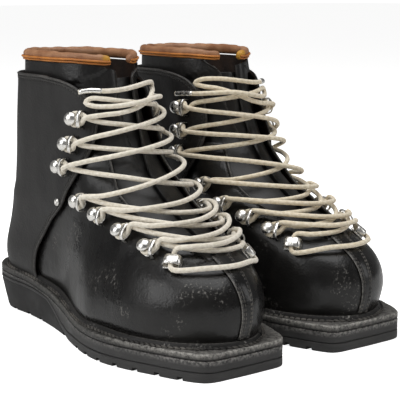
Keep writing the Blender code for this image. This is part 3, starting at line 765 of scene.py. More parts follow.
def fixture_tree():
    """Tree that stands a copy of a fitting on each point, facing out of the leather."""
    if "fittings_on_leather" in bpy.data.node_groups:
        return bpy.data.node_groups["fittings_on_leather"]
    tree, start, end = new_tree("fittings_on_leather", (
        ("Fitting", "NodeSocketObject", None), ("Metal", "NodeSocketMaterial", None)))
    shape = node(tree, "GeometryNodeObjectInfo", {"Object": start.outputs["Fitting"]})
    facing = node(tree, "GeometryNodeInputNamedAttribute", {"Name": "facing"},
                  data_type="FLOAT_VECTOR")
    away = node(tree, "GeometryNodeInputNamedAttribute", {"Name": "away"},
                data_type="FLOAT_VECTOR")
    stand = node(tree, "FunctionNodeAlignRotationToVector", {"Vector": facing.outputs[0]}, axis="Z")
    turn = node(tree, "FunctionNodeAlignRotationToVector", {
        "Rotation": stand.outputs[0], "Vector": away.outputs[0]}, axis="X", pivot_axis="Z")
    copies = node(tree, "GeometryNodeInstanceOnPoints", {
        "Points": start.outputs["Geometry"], "Instance": shape.outputs["Geometry"],
        "Rotation": turn.outputs[0]})
    real = node(tree, "GeometryNodeRealizeInstances", {"Geometry": copies.outputs[0]})
    done = node(tree, "GeometryNodeSetMaterial", {"Geometry": real.outputs[0],
                                                  "Material": start.outputs["Metal"]})
    tree.links.new(done.outputs[0], end.inputs[0])
    return tree


def run_tree(obj, tree, **inputs):
    """Run a tree on an object with inputs named by their labels, and keep the plain mesh."""
    modifier = obj.modifiers.new("made", "NODES")
    modifier.node_group = tree
    for item in tree.interface.items_tree:
        key = item.name.lower().replace(" ", "_")
        if item.item_type == "SOCKET" and item.in_out == "INPUT" and key in inputs:
            modifier[item.identifier] = inputs[key]
    return bake(obj)


def sew(boot, name, paths, pitch, length, radius, thread, slot):
    """Rows of stitches along local paths."""
    points, edges = [], []
    for path in paths:
        first = len(points)
        points += boot.world(path).tolist()
        edges += [(first + k, first + k + 1) for k in range(len(path) - 1)]
    mesh = bpy.data.meshes.new(f"{boot.name}_{name}")
    mesh.from_pydata(points, edges, [])
    obj = put(f"{boot.name}_{name}", mesh)
    run_tree(obj, stitch_tree(), pitch=pitch, stitch_length=length, thread_radius=radius,
             thread=finish(thread))
    return seat(obj, boot, slot)


def edge_line(v, t, depth, inset):
    """Line on a sheet that follows the edge (v, t) at an inset, moving to its left."""
    points, normals, _, _ = skin_frame(v, t)
    points = points + normals * np.asarray(depth, float)[..., None]
    ahead = unit(np.gradient(points, axis=0))
    return points + unit(np.cross(normals, ahead)) * inset


# ---------------------------------------------------------------- laces


def hook_place(number, turn, outside):
    """Section, turn and depth of a hook's foot."""
    on_cuff = turn > cuff_turn(number, outside)
    return number, turn if outside else 1 - turn, (CUFF_OUT if on_cuff else 0.0) + GAP


def around_hook(number, turn, outside, high_in, high_out):
    """Lace points in above a hook's neck, round its outer side and out below, crossing inside it."""
    v, t, depth = hook_place(number, turn, outside)
    point, normal, along, up = skin_frame(v, t)
    tilt = math.radians(24.0 if number < 8 else 4.0)
    across = along if outside else -along
    out = across * math.cos(tilt) - up * math.sin(tilt)
    side = up * math.cos(tilt) + across * math.sin(tilt)
    middle = point + normal * (depth + LACE_HEIGHT)

    def arm(high, way):
        """Two points of a strand beside the neck, from where it meets the other one."""
        meets = middle - out * LACE_MEETS + normal * (LACE_OVER if high else 0.1)
        leaves = middle - out * LACE_LEAVES + side * 3.4 * way + normal * (0.9 if high else 0.0)
        return [meets, leaves]

    bend = []
    for angle in (72, 0, -72):
        a = math.radians(angle)
        bend.append(middle + (out * math.cos(a) + side * math.sin(a)) * LACE_BEND)
    return arm(high_in, 1) + bend + arm(high_out, -1)[::-1]


def crossing(first, second, high):
    """Points that carry a strand over the front between two fixtures."""
    (v0, t0), (v1, t1) = first, second
    made = []
    for share, lift, raised in ((0.17, 7.6, 12.0), (0.33, 6.4, 11.2), (0.50, 5.8, 10.6),
                                (0.67, 6.4, 11.2), (0.83, 7.6, 12.0)):
        v, t = v0 + (v1 - v0) * share, t0 + (t1 - t0) * share
        # below the bend of the instep the strands lie closer and further up
        low = min(max((8.8 - v) / 0.9, 0), 1)
        up = skin_frame(v, t)[3]
        made.append(skin(v, t, (raised if high else lift) - 2.4 * low) + up * 2.8 * share * low)
    return made


def lace_run(start, outside, flip):
    """One strand from a bottom loop up to the top hook, crossing at every level."""
    made = []
    place = start
    for index in range(7):
        hook = (OUTER_HOOKS if outside else INNER_HOOKS)[index]
        target = (hook[0], hook[1] if outside else -hook[1])
        high = index % 2 == flip
        made += crossing(place, target, high)
        made += around_hook(*hook, outside, high, not high)
        place = target
        outside = not outside
    return made


def loop_pass(place, outside, rise):
    """Points that carry the lace up through a bottom loop and leave it raised by rise."""
    number, turn = place
    point, normal, along, up = skin_frame(number, turn if outside else 1 - turn)
    out = along if outside else -along
    middle = point + normal * (GAP + 3.5)
    return [middle - up * 7.5 - out * 2.5, middle - up * 4.0, middle + up * 4.0,
            middle + up * 8.0 - out * 2.0 + normal * rise]


def lace_route():
    """The whole lace from the tip of one tail to the tip of the other, in local millimetres."""
    inner_start = (INNER_LOOP[0] + 0.35, -INNER_LOOP[1])
    outer_start = (OUTER_LOOP[0] + 0.35, OUTER_LOOP[1])
    points = [skin(*place) for place in reversed(BOW_ONE)]
    points += list(reversed(lace_run(outer_start, False, 0)))
    points += list(reversed(loop_pass(OUTER_LOOP, True, 3.4)))
    points += [skin(4.60, share, 4.6) for share in (0.045, 0.0, -0.045)]
    points += loop_pass(INNER_LOOP, False, 0.4)
    points += lace_run(inner_start, True, 1)
    points += [skin(*place) for place in BOW_TWO]
    return np.array(points)


class BOOTS_OT_laces(bpy.types.Operator):
    """Lace each boot with one round braided cotton lace and its two tips"""

    bl_idname = "boots.laces"
    bl_label = "Laces"

    def execute(self, context):
        sizes = context.scene.boot_sizes
        route = smooth_path(lace_route(), 1.5)
        radius = sizes.lace_diameter / 2 / MM
        for boot in BOOTS:
            cotton = finish("unbleached_cotton" if boot.side > 0 else "yellowed_cotton")
            points, faces, run = tube(route, radius, 10)
            lace = mesh_piece(boot, "cotton_lace", points, faces, cotton, uv=run)
            for word, end in (("first", route[:13]), ("second", route[:-14:-1])):
                ring = np.full(len(end), radius + 0.32)
                ring[[4, 8]] = radius + 0.12
                ring[0], ring[-1] = radius + 0.05, radius * 0.75
                verts, sides, _ = tube(end[::-1], ring, 12)
                tip = mesh_piece(boot, f"lace_tip_{word}", verts, sides, finish("chromed_steel"))
                seat(tip, boot, "chrome_steel")
            seat(lace, boot, "lace_cotton", "lace")
            tuple(boot.world(route[0]))
            boot.world(route).tolist()
        return {"FINISHED"}


# ---------------------------------------------------------------- sole and welt


def sole_sides(step):
    """Matching points of the outer and inner side of the sole's edge, front to back."""
    loop = [(-a, y) for y, a, _ in OUTLINE] + [(b, y) for y, _, b in reversed(OUTLINE[1:-1])]
    dense = smooth_path(loop, 0.4, closed=True)
    outer = dense[(dense[:, 0] <= 0)]
    outer = outer[np.argsort(outer[:, 1])]
    inner = dense[(dense[:, 0] > 0)]
    inner = inner[np.argsort(inner[:, 1])]
    low, high = dense[:, 1].min(), dense[:, 1].max()
    outer = np.vstack([[0, low], outer, [0, high]])
    inner = np.vstack([[0, low], inner, [0, high]])
    run = run_along(outer)
    count = int(run[-1] / step)
    places = np.linspace(0, run[-1], count + 1)
    y = np.interp(places, run, outer[:, 1])
    out_x = np.interp(places, run, outer[:, 0])
    in_x = np.interp(y, inner[:, 1], inner[:, 0])
    return y, out_x, in_x


def ring_normals(ring):
    """Outward directions of a closed ring listed from the toe round the outer side."""
    ahead = np.roll(ring, -1, axis=0) - np.roll(ring, 1, axis=0)
    ahead = unit(np.stack([ahead[:, 0], ahead[:, 1], 0 * ahead[:, 0]], 1))
    return np.stack([-ahead[:, 1], ahead[:, 0], 0 * ahead[:, 0]], 1)


def sole_ring(step=2.2, back_of=None):
    """Ring of the sole's edge, its outward directions, and how many points a side has."""
    y, out_x, in_x = sole_sides(step)
    if back_of is not None:
        kept = y > back_of
        y, out_x, in_x = y[kept], out_x[kept], in_x[kept]
        ring = np.vstack([np.stack([out_x, y], 1), np.stack([in_x, y], 1)[-2::-1]])
        full = np.column_stack([ring, np.zeros(len(ring))])
        ahead = unit(np.gradient(full, axis=0))
        return full, np.stack([-ahead[:, 1], ahead[:, 0], 0 * ahead[:, 0]], 1), len(y)
    ring = np.vstack([np.stack([out_x, y], 1), np.stack([in_x, y], 1)[-2:0:-1]])
    full = np.column_stack([ring, np.zeros(len(ring))])
    return full, ring_normals(full), len(y)


def trimmed(points):
    """Cut the two back corners of the heel off on a slant that grows towards the ground."""
    made = np.array(points, float)
    for side in (-1, 1):
        way = np.array((side * 0.72, 0.694))
        reach = made[:, 0] * way[0] + made[:, 1] * way[1]
        limit = 133.5 - np.clip(33.0 - made[:, 2], 0, 40) * 0.36
        over = np.maximum(reach - limit, 0) * (made[:, 1] > 60)
        made[:, 0] -= over * way[0]
        made[:, 1] -= over * way[1]
    return made


def sole_layer(boot, name, rings, count, closed, material, worn=None):
    """Solid from rings listed top to bottom; each ring pairs its outer and inner points."""
    size = len(rings[0])
    faces = ring_faces(len(rings), size, closed)
    for r, turn in ((0, 1), (len(rings) - 1, -1)):
        base = r * size
        for k in range(count - 1):
            mate = (size - k) % size if closed else size - 1 - k
            after = (size - k - 1) % size if closed else size - 2 - k
            face = list(dict.fromkeys((base + k, base + mate, base + after, base + k + 1)))
            if len(face) > 2:
                faces.append(tuple(face[::turn]))
    if not closed:
        faces.append(tuple([r * size for r in range(len(rings))]
                           + [r * size + size - 1 for r in reversed(range(len(rings)))]))
    rubbing_and_painted_highlight = np.zeros(len(rings) * size) if worn is None else np.ravel(worn)
    obj = mesh_piece(boot, name, np.vstack(rings), faces, material, worn=rubbing_and_painted_highlight)
    face_outward(obj.data)
    return obj


def wall(ring, normal, insets, heights):
    """Rings of a side wall: insets in from the edge, heights as functions of y."""
    made = []
    for inset, height in zip(insets, heights):
        points = ring - normal * inset
        points[:, 2] = height(points[:, 1])
        made.append(trimmed(points))
    return made


def block_top(y):
    """Top of the heel block and foot of the tread layer."""
    return level(BLOCK_TOP, y, soft=4.0)


def tread_top(y):
    """Top of the tread layer."""
    return block_top(y) + level(TREAD_THICK, y)


def cut_grooves(boot, obj, places, width, depth):
    """Cross grooves and a middle channel cut up into the tread."""
    boxes = [(0.0, y, 150.0, width) for y in places]
    boxes.append((0.0, (min(places) + max(places)) / 2, 7.0, max(places) - min(places)))
    work = bmesh.new()
    for x, y, size_x, size_y in boxes:
        high = depth if size_x > 100 else depth - 0.4
        for vertex in bmesh.ops.create_cube(work, size=1.0)["verts"]:
            # a cross groove is wider where it opens on the ground
            long = size_y * (1.35 if size_y < 20 and vertex.co.z < 0 else 1.0)
            vertex.co = boot.world((x + vertex.co.x * size_x, y + vertex.co.y * long,
                                    (vertex.co.z + 0.5) * (high + 3) - 3))
    bmesh.ops.recalc_face_normals(work, faces=work.faces)
    mesh = bpy.data.meshes.new("grooves")
    work.to_mesh(mesh)
    work.free()
    cutter = put("grooves", mesh)
    cut = obj.modifiers.new("grooves", "BOOLEAN")
    cut.operation, cut.solver, cut.use_self, cut.object = "DIFFERENCE", "EXACT", True, cutter
    bake(obj)
    bpy.data.objects.remove(cutter, do_unlink=True)
    shade_by_angle(obj, 35)


def shade_by_angle(obj, degrees):
    """Smooth shading that stops at edges sharper than the angle."""
    mesh = obj.data
    mesh.polygons.foreach_set("use_smooth", [True] * len(mesh.polygons))
    mesh.set_sharp_from_angle(angle=math.radians(degrees))


def make_midsole(boot, ring, normal, count):
    """Rubber layer between the tread and the welt, dusty along its top edge."""
    def top(y):
        return level(SOLE_TOP, y) - WELT_THICK - 0.4

    def foot(y):
        return tread_top(y) + 0.1

    def part_way(share):
        return lambda y: foot(y) + (top(y) - foot(y)) * share

    rings = wall(ring, normal, (3.0, 0.9, 0.2, 0.0, 0.1, 0.1, 0.0, 0.7, 3.0),
                 (top, top, lambda y: top(y) - 0.25, lambda y: top(y) - 0.9, part_way(0.5),
                  part_way(0.25), lambda y: foot(y) + 0.7, foot, foot))
    rubbing_and_painted_highlight = np.zeros((len(rings), len(ring)))
    rubbing_and_painted_highlight[1:4] = 0.35 + 0.5 * ease(-ring[:, 1], 90, 140)
    midsole = sole_layer(boot, "rubber_midsole", rings, count, True,
                         finish("moulded_sole_rubber"), rubbing_and_painted_highlight)
    shade_by_angle(midsole, 40)
    seat(midsole, boot, "sole_rubber", "midsole")


def make_tread(boot, ring, normal, count):
    """Tread layer with its grooves."""
    def high(y):
        return tread_top(y) - 0.1

    rings = wall(ring, normal, (3.0, 0.7, 0.0, 0.0, 0.5, 3.0),
                 (high, high, lambda y: high(y) - 0.7, lambda y: block_top(y) + 0.6, block_top,
                  block_top))
    tread = sole_layer(boot, "rubber_tread", rings, count, True, finish("moulded_sole_rubber"))
    cut_grooves(boot, tread, TREAD_GROOVES, GROOVE_WIDTH, GROOVE_DEPTH)
    seat(tread, boot, "sole_rubber", "outsole")


def make_heel(boot):
    """Heel block, smaller at the ground than at its top, with its grooves."""
    back, away, half = sole_ring(back_of=12.0)
    rings = []
    for share, inset in ((1.0, 3.0), (1.0, 0.6), (0.93, 0.1), (0.5, 0.4), (0.1, 0.9), (0.02, 1.4),
                         (0.0, 4.0)):
        points = back - away * inset
        y = points[:, 1].copy()
        points[:, 0] *= 1 - 0.084 * ease(y, 20, 100) * (1 - share)
        points[:, 1] -= np.maximum(y - 100, 0) * 0.14 * (1 - share)
        points[:, 2] = np.maximum(block_top(y) - GAP + 0.2, 0.3) * share
        rings.append(trimmed(points))
    block = sole_layer(boot, "rubber_heel", rings, half, False, finish("moulded_heel_rubber"))
    cut_grooves(boot, block, HEEL_GROOVES, GROOVE_WIDTH, GROOVE_DEPTH)
    seat(block, boot, "heel_rubber", "heel_block")


class BOOTS_OT_soles(bpy.types.Operator):
    """Make the midsole, tread and heel block of moulded rubber"""

    bl_idname = "boots.soles"
    bl_label = "Soles"

    def execute(self, context):
        ring, normal, count = sole_ring()
        for boot in BOOTS:
            make_midsole(boot, ring, normal, count)
            make_tread(boot, ring, normal, count)
            make_heel(boot)
        return {"FINISHED"}


def welt_stations(step=1.6):
    """Round the boot: foot of the upper, edge of the sole and the distance between them."""
    ring, normal, _ = sole_ring(step)
    turns = np.linspace(0, 1, 1600, endpoint=False)
    base = skin(0.04, turns, 0.0)
    inner = []
    for point, way in zip(ring, normal):
        delta = base[:, :2] - point[:2]
        along = np.abs(delta @ np.array((-way[1], way[0])))
        along[(delta @ way[:2]) > 2] = 1e9
        along[(delta @ way[:2]) < -40] = 1e9
        inner.append(base[np.argmin(along), :2])
    inner = np.array(inner)
    for _ in range(6):
        inner = (np.roll(inner, 1, 0) + 2 * inner + np.roll(inner, -1, 0)) / 4
    outward = ring[:, :2] - inner
    width = np.linalg.norm(outward, axis=1)
    return ring, inner, outward / width[:, None], width


class BOOTS_OT_welts(bpy.types.Operator):
    """Make the stitched welt with its raised lip against the upper"""

    bl_idname = "boots.welts"
    bl_label = "Welts"

    def execute(self, context):
        sizes = context.scene.boot_sizes
        ring, inner, outward, width = welt_stations()
        lip = np.minimum(2.1, 0.26 * width)
        groove = np.minimum(5.2, 0.62 * width)
        rough = 0.25 * np.sin(ring[:, 1] * 0.9) * np.sin(ring[:, 0] * 1.3)
        # distance out from the foot of the upper, and height over the top of the sole
        profile = [(-4.0, 0.1), (-0.4, 0.3), (lip - 1.9, 2.6), (lip - 1.2, 3.4),
                   (lip, 3.7), (lip + 1.1, 3.0), (lip + 1.9, 1.4), (groove - 0.9, 0.1),
                   (groove, -0.35), (groove + 0.9, 0.0), (width - 1.1, 0.35), (width - 0.35, 0.2),
                   (width - 0.05, -0.35), (width - 0.05, -WELT_THICK + 0.4),
                   (width - 0.5, -WELT_THICK), (-4.0, -WELT_THICK)]
        for boot in BOOTS:
            rings, rubbing_and_painted_highlight = [], []
            for index, (out, height) in enumerate(profile):
                flat = inner + outward * np.broadcast_to(out, len(ring))[:, None]
                wave = rough * (1.0 if 7 <= index <= 11 else 0.25 if index in (3, 4, 5) else 0)
                z = level(SOLE_TOP, flat[:, 1]) + height + wave
                rings.append(trimmed(np.column_stack([flat, z])))
                front = ease(-ring[:, 1], 40, 135)
                rubbing_and_painted_highlight.append({4: 0.35, 10: 0.5, 11: 1.0, 12: 1.0, 9: 0.35}.get(index, 0.0)
                           * (0.25 + 0.75 * front))
            corners = len(rings) * len(ring)
            faces = [tuple(index % corners for index in face)
                     for face in ring_faces(len(rings) + 1, len(ring))]
            welt = mesh_piece(boot, "stitched_welt", np.vstack(rings), faces,
                              finish("scuffed_welt_leather"), worn=np.concatenate(rubbing_and_painted_highlight))
            face_outward(welt.data)
            seat(welt, boot, "welt_leather", "welt")
            rows = []
            for out, high in ((groove - 0.75, 0.75), (groove + 0.75, 0.5)):
                flat = inner + outward * out[:, None]
                row = trimmed(np.column_stack([flat, level(SOLE_TOP, flat[:, 1]) + high]))
                rows.append(np.vstack([row, row[:1]]))
            sew(boot, "welt_stitches", rows, sizes.welt_pitch, 0.0042, 0.00072,
                "pale_waxed_thread", "welt_leather")
        return {"FINISHED"}


class BOOTS_OT_insoles(bpy.types.Operator):
    """Lay the insole inside each boot"""

    bl_idname = "boots.insoles"
    bl_label = "Insoles"

    def execute(self, context):
        turns = np.linspace(0, 0.5, 60)
        for boot in BOOTS:
            outer = skin(0.0, turns, -8.2)
            inner = skin(0.0, 1 - turns, -8.2)
            outer[0, 0] = outer[-1, 0] = 0.0
            ring = np.vstack([outer, inner[-2:0:-1]])
            ring[:, 2] = 0
            normal = ring_normals(ring)
            rings = []
            for inset, height in ((16.0, 1.0), (5.0, 1.5), (1.2, 1.5), (0.3, 1.0), (0.0, 0.2),
                                  (0.0, GAP - WELT_THICK)):
                points = ring - normal * inset
                points[:, 2] = level(SOLE_TOP, points[:, 1]) + height
                rings.append(points)
            board = sole_layer(boot, "footbed", rings, len(outer), True,
                               finish("insole_leatherboard"))
            seat(board, boot, "insole_board", "insole")
        return {"FINISHED"}


# ---------------------------------------------------------------- uppers


class BOOTS_OT_vamps(bpy.types.Operator):
    """Make the vamp with its lace facings, from the toe to under the ankle cuff"""

    bl_idname = "boots.vamps"
    bl_label = "Vamps"

    def execute(self, context):
        v = np.unique(np.round(np.concatenate([
            np.linspace(0.04, 0.5, 8), np.arange(0.5, 9.85, 0.085), [9.85],
            np.linspace(THROAT - 0.3, THROAT, 9)]), 4))
        edge = facing_turn(v)
        middle = np.linspace(-1, 1, 13)[None, :] * edge[:, None]
        fine = (0, 0.6, 1.2, 1.8, 2.4, 3.0, 3.8, 5.0)
        out = sheet_columns(v, edge, cuff_turn(v, True) + 0.03, fine, 58, close_end=False)
        inn = sheet_columns(v, -edge, -cuff_turn(v, False) - 0.03, fine, 58, close_end=False)
        t = np.hstack([inn[:, ::-1], middle[:, 1:-1], out])
        grid = np.broadcast_to(v[:, None], t.shape)
        k = np.arange(t.shape[1] - 1)
        hollow = (k >= inn.shape[1] - 1) & (k < t.shape[1] - out.shape[1])
        keep = ~((v[:-1, None] >= THROAT - 1e-6) & hollow[None, :])
        climb = np.linspace(THROAT, 9.85, 500)
        rim = np.vstack([skin(climb[::-1], -facing_turn(climb[::-1])),
                         skin(THROAT, np.linspace(-0.021, 0.021, 60)),
                         skin(climb, facing_turn(climb))])
        points = skin_point(grid, t)
        far = near(points, rim)
        depth = (0.55 * swell(far, 0.9, 1.3) - 0.30 * swell(far, 2.7, 0.7)
                 - 0.5 * ease(-far, -0.7, 0.0))
        # soft creases across the instep and a crease where the leather turns to the welt
        x, y, z = points[..., 0], points[..., 1], points[..., 2]
        lean = np.sin(y * 0.145 + 0.6 * np.sin(x * 0.06) + z * 0.05)
        depth = depth + 0.5 * lean * ease(-np.abs(y + 38), -45, -5) * ease(z, 50, 80)
        depth = depth + 0.35 * np.sin(z * 0.11 + y * 0.03) * ease(-np.abs(y + 10), -60, -20)
        worn = 0.8 * np.exp(-(far / 0.9) ** 2) + 0.35 * ease(-grid, -0.5, -0.1)
        for boot in BOOTS:
            vamp = leather_sheet(boot, "leather_vamp", grid, t, depth, LEATHER,
                                 (finish("polished_toe_leather"), finish("dark_lining_leather")),
                                 worn=worn, keep=keep)
            seat(vamp, boot, "toe_leather", "vamp")
            climb = np.linspace(THROAT + 0.15, 9.6, 260)
            rows = [edge_line(climb, facing_turn(climb), 0 * climb + 0.1, 2.7),
                    edge_line(climb, -facing_turn(climb), 0 * climb + 0.1, -2.7)]
            sizes = context.scene.boot_sizes
            sew(boot, "facing_stitches", rows, sizes.seam_pitch, 0.0021, sizes.thread_radius,
                "black_waxed_thread", "toe_leather")
        return {"FINISHED"}


def strip_half(v):
    """Half width of the toe strip, in millimetres, from the welt to the throat."""
    return 5.0 + 2.4 * ease(v, 1.5, 5.2)


class BOOTS_OT_toe_strips(bpy.types.Operator):
    """Sew the strip down the middle of each toe with two rows of stitches on each side"""

    bl_idname = "boots.toe_strips"
    bl_label = "Toe strips"

    def execute(self, context):
        v = np.linspace(0.55, THROAT, 70)
        share = np.array((-1, -0.95, -0.88, -0.78, -0.68, -0.56, -0.4, -0.2, 0, 0.2, 0.4, 0.56,
                          0.68, 0.78, 0.88, 0.95, 1))
        per_turn = np.abs(skin_point(v, 0.01)[:, 0]) / 0.01
        t = strip_half(v)[:, None] / per_turn[:, None] * share[None, :]
        grid = np.broadcast_to(v[:, None], t.shape)
        far = (1 - np.abs(share))[None, :] * strip_half(v)[:, None]
        depth = 1.75 - 0.9 * ease(-far, -0.6, 0.0) + 0.22 * swell(far, 2.05, 0.5) \
            - 0.2 * swell(far, 1.35, 0.4) - 0.2 * swell(far, 2.8, 0.4)
        worn = 0.9 * np.exp(-(far / 0.7) ** 2) * np.ones_like(t)
        sizes = context.scene.boot_sizes
        for boot in BOOTS:
            strip = leather_sheet(boot, "toe_strip_leather", grid, t, depth, 1.5,
                                  (finish("polished_toe_leather"),), worn=worn, edge=0.4)
            seat(strip, boot, "toe_leather", "toe_strip")
            rows = []
            for side in (-1, 1):
                for inset in (1.4, 2.9):
                    turn = side * (strip_half(v) - inset) / per_turn
                    rows.append(skin(v[1:-1], turn[1:-1], 1.75 + 0 * turn[1:-1]))
            sew(boot, "toe_strip_stitches", rows, sizes.seam_pitch, 0.0021, sizes.thread_radius,
                "pale_waxed_thread", "toe_leather")
        return {"FINISHED"}


def cuff_half(outside):
    """Grid over half the cuff, front edge to heel and foot to top, as sections and turns."""
    line = CUFF_LINE[outside]
    line = line[line[:, 0] >= CUFF_FOOT]
    back = np.linspace(line[-1, 1], 0.5, 160)[1:]
    line = np.vstack([line, np.stack([np.full(159, CUFF_TOP), back], 1)])
    corner = int(np.argmin(np.abs(line[:, 0] - 11.95)))
    fine = np.array((0, 0.5, 1.0, 1.5, 2.0, 2.5, 3.0, 3.5, 4.0, 4.5, 5.2, 6.5))

    def spaced(path, places):
        run = run_along(skin_point(path[:, 0], path[:, 1]))
        return np.stack([np.interp(places * run[-1], run, path[:, k]) for k in (0, 1)], 1)

    across = np.concatenate([fine / 105, np.linspace(6.5 / 105, 1, 40)[1:]])
    climb = np.concatenate([fine / 190, np.linspace(6.5 / 190, 1, 105)[1:]])
    climb = 1 - climb[::-1]
    front = spaced(line[:corner + 1], climb)[:, None]
    top = spaced(line[corner:], across)[None]
    foot = spaced(np.array(((CUFF_FOOT, 1 / 3), (CUFF_FOOT, 0.5))), across)[None]
    heel = spaced(np.array(((CUFF_FOOT, 0.5), (CUFF_TOP, 0.5))), climb)[:, None]
    c, r = across[None, :, None], climb[:, None, None]
    made = ((1 - c) * front + c * heel + (1 - r) * foot + r * top
            - (1 - c) * (1 - r) * foot[:, :1] - c * (1 - r) * foot[:, -1:]
            - (1 - c) * r * top[:, :1] - c * r * top[:, -1:])
    return made[..., 0], made[..., 1]


class BOOTS_OT_cuffs(bpy.types.Operator):
    """Wrap the ankle cuff round the heel, its edge piped and stitched"""

    bl_idname = "boots.cuffs"
    bl_label = "Ankle cuffs"

    def execute(self, context):
        outer, inner = cuff_half(True), cuff_half(False)
        grid = np.hstack([outer[0], inner[0][:, -2::-1]])
        t = np.hstack([outer[1], 1 - inner[1][:, -2::-1]])
        points = skin(grid, t, 0 * t + CUFF_OUT)
        ends = cuff_turn(CUFF_TOP, True), 1 - cuff_turn(CUFF_TOP, False)
        top = np.linspace(*ends, 900)
        rim_v = np.linspace(CUFF_FOOT, CUFF_TOP, 1400)
        rim = np.vstack([skin(rim_v, cuff_turn(rim_v, True), CUFF_OUT + 0 * rim_v),
                         skin(CUFF_TOP, top, CUFF_OUT + 0 * top),
                         skin(rim_v, 1 - cuff_turn(rim_v, False), CUFF_OUT + 0 * rim_v)])
        far = near(points, rim)
        depth = CUFF_OUT + (0.85 * swell(far, 1.2, 1.25) - 0.35 * swell(far, 2.55, 0.6)
                            + 0.45 * swell(far, 3.5, 0.8) - 0.35 * swell(far, 4.6, 0.7)
                            - 0.5 * ease(-far, -0.6, 0.0))
        z = points[..., 2]
        # counter inside the heel, and slack leather above it
        back = ease(-np.abs(t - 0.5), -0.2, -0.08)
        depth = depth + 1.1 * back * ease(-z, -112, -98) * ease(z, 36, 60)
        depth = depth + 0.5 * np.sin(t * 70 + 2 * np.sin(z * 0.04)) * ease(z, 90, 150) \
            * ease(-z, -196, -170) * ease(far, 5, 16)
        worn = 0.55 * np.exp(-((far - 1.2) / 0.8) ** 2) + 0.25 * np.exp(-((far - 3.5) / 0.7) ** 2)
        for boot in BOOTS:
            cuff = leather_sheet(boot, "leather_cuff", grid, t, depth, LEATHER,
                                 (finish("waxed_side_leather"), finish("dark_lining_leather")),
                                 worn=worn)
            seat(cuff, boot, "cuff_leather", "ankle_cuff")
            outside, inside = (line[line[:, 0] > 0.3] for line in (CUFF_LINE[True],
                                                                   CUFF_LINE[False]))
            way_v = np.concatenate([outside[:, 0], np.full(700, CUFF_TOP), inside[::-1, 0]])
            way_t = np.concatenate([outside[:, 1], np.linspace(*ends, 702)[1:-1],
                                    1 - inside[::-1, 1]])
            rows = [edge_line(way_v, way_t, 0 * way_v + CUFF_OUT - 0.05, inset)
                    for inset in (2.55, 4.6)]
            sizes = context.scene.boot_sizes
            sew(boot, "cuff_stitches", rows, sizes.seam_pitch, 0.0021, sizes.thread_radius,
                "black_waxed_thread", "cuff_leather")
        return {"FINISHED"}


class BOOTS_OT_inner_boots(bpy.types.Operator):
    """Make the full-height inner boot with its two front flaps"""

    bl_idname = "boots.inner_boots"
    bl_label = "Inner boots"

    def execute(self, context):
        v = np.unique(np.round(np.concatenate([
            np.arange(0.45, 5.2, 0.3), np.arange(5.2, 10.5, 0.12), np.arange(10.5, 12.8, 0.06),
            np.linspace(12.7, 12.8, 6)]), 4))
        first = np.full(len(v), 0.006)
        last = 1 - (0.010 + 0.042 * ease(v, 8.5, 11.8)) - 0.05 * ease(v, 12.4, 12.82) ** 2
        fine = (0, 0.6, 1.2, 1.8, 2.6, 3.6, 5.0)
        t = sheet_columns(v, first, last, fine, 150)
        grid = np.broadcast_to(v[:, None], t.shape)
        grid = grid - ease(grid, 12.0, 12.8) * 0.16 * np.clip(1 - np.minimum(t, 1 - t) / 0.12, 0, 1)
        depth = np.full(t.shape, INNER_OUT)
        # the outer flap swells in front and tucks in at its edge; the inner one turns out a little
        from_out = (t - first[:, None]) * 230
        from_in = (last[:, None] - t) * 230
        high = ease(grid, 8.6, 11.0)
        depth = depth + high * (1.6 * swell(from_out, 7.0, 9.0) - 1.2 * ease(-from_out, -2.5, 0))
        depth = depth + high * 1.3 * swell(from_in, 0.6, 3.0)
        # the side of the inner boot ends in a folded edge over the front flap
        fold = 0.04 + 0.16 * ease(-grid, -12.75, -12.1)
        for turn in (t, 1 - t):
            step = (turn - fold) * 230
            depth = depth + ease(grid, 11.0, 11.6) * (1.5 * ease(step, -0.9, 0.9)
                                                      + 0.5 * swell(step, 2.2, 2.2)
                                                      - 0.7 * swell(step, -1.6, 1.4)) \
                * (turn < 0.5)
        depth = depth + 0.7 * ease(grid, 12.1, 12.6)
        worn = high * (0.45 * np.exp(-(from_in / 1.4) ** 2) + 0.2 * np.exp(-(from_out / 1.2) ** 2))
        for boot in BOOTS:
            inner = leather_sheet(boot, "inner_boot_leather", grid, t, depth, 2.0,
                                  (finish("polished_inner_leather"),
                                   finish("dark_lining_leather")), worn=worn)
            seat(inner, boot, "lining_leather", "inner_boot")
        return {"FINISHED"}


class BOOTS_OT_tongues(bpy.types.Operator):
    """Make the tongue behind the flaps, from where it is sewn in"""

    bl_idname = "boots.tongues"
    bl_label = "Tongues"

    def execute(self, context):
        v = np.linspace(HINGE_SECTION, 12.5, 105)
        edge = np.interp(v, (5.0, 6.0, 8.0, 12.1, 12.5), (0.045, 0.085, 0.105, 0.105, 0.085))
        t = edge[:, None] * np.linspace(-1, 1, 41)[None, :]
        grid = np.broadcast_to(v[:, None], t.shape)
        points = skin_point(grid, t)
        depth = TONGUE_OUT + 0.35 * np.sin(points[..., 2] * 0.22) * ease(grid, 5.6, 7)
        worn = 0.4 * np.exp(-((1 - np.abs(np.linspace(-1, 1, 41)))[None, :] / 0.05) ** 2) \
            * np.ones_like(t)
        for boot in BOOTS:
            tongue = leather_sheet(boot, "leather_tongue", grid, t, depth, 1.8,
                                   (finish("polished_inner_leather"),
                                    finish("dark_lining_leather")), worn=worn)
            start, end = boot.world(skin(np.array((HINGE_SECTION, 5.75)), 0.0, TONGUE_OUT))
            start[0] = end[0] = boot.middle * MM
            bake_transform(tongue)
            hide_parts(f"{boot.name}_tongue")
        return {"FINISHED"}


COLLAR_HALF_WIDTH = 4.0
COLLAR_HALF_HEIGHT = 4.6


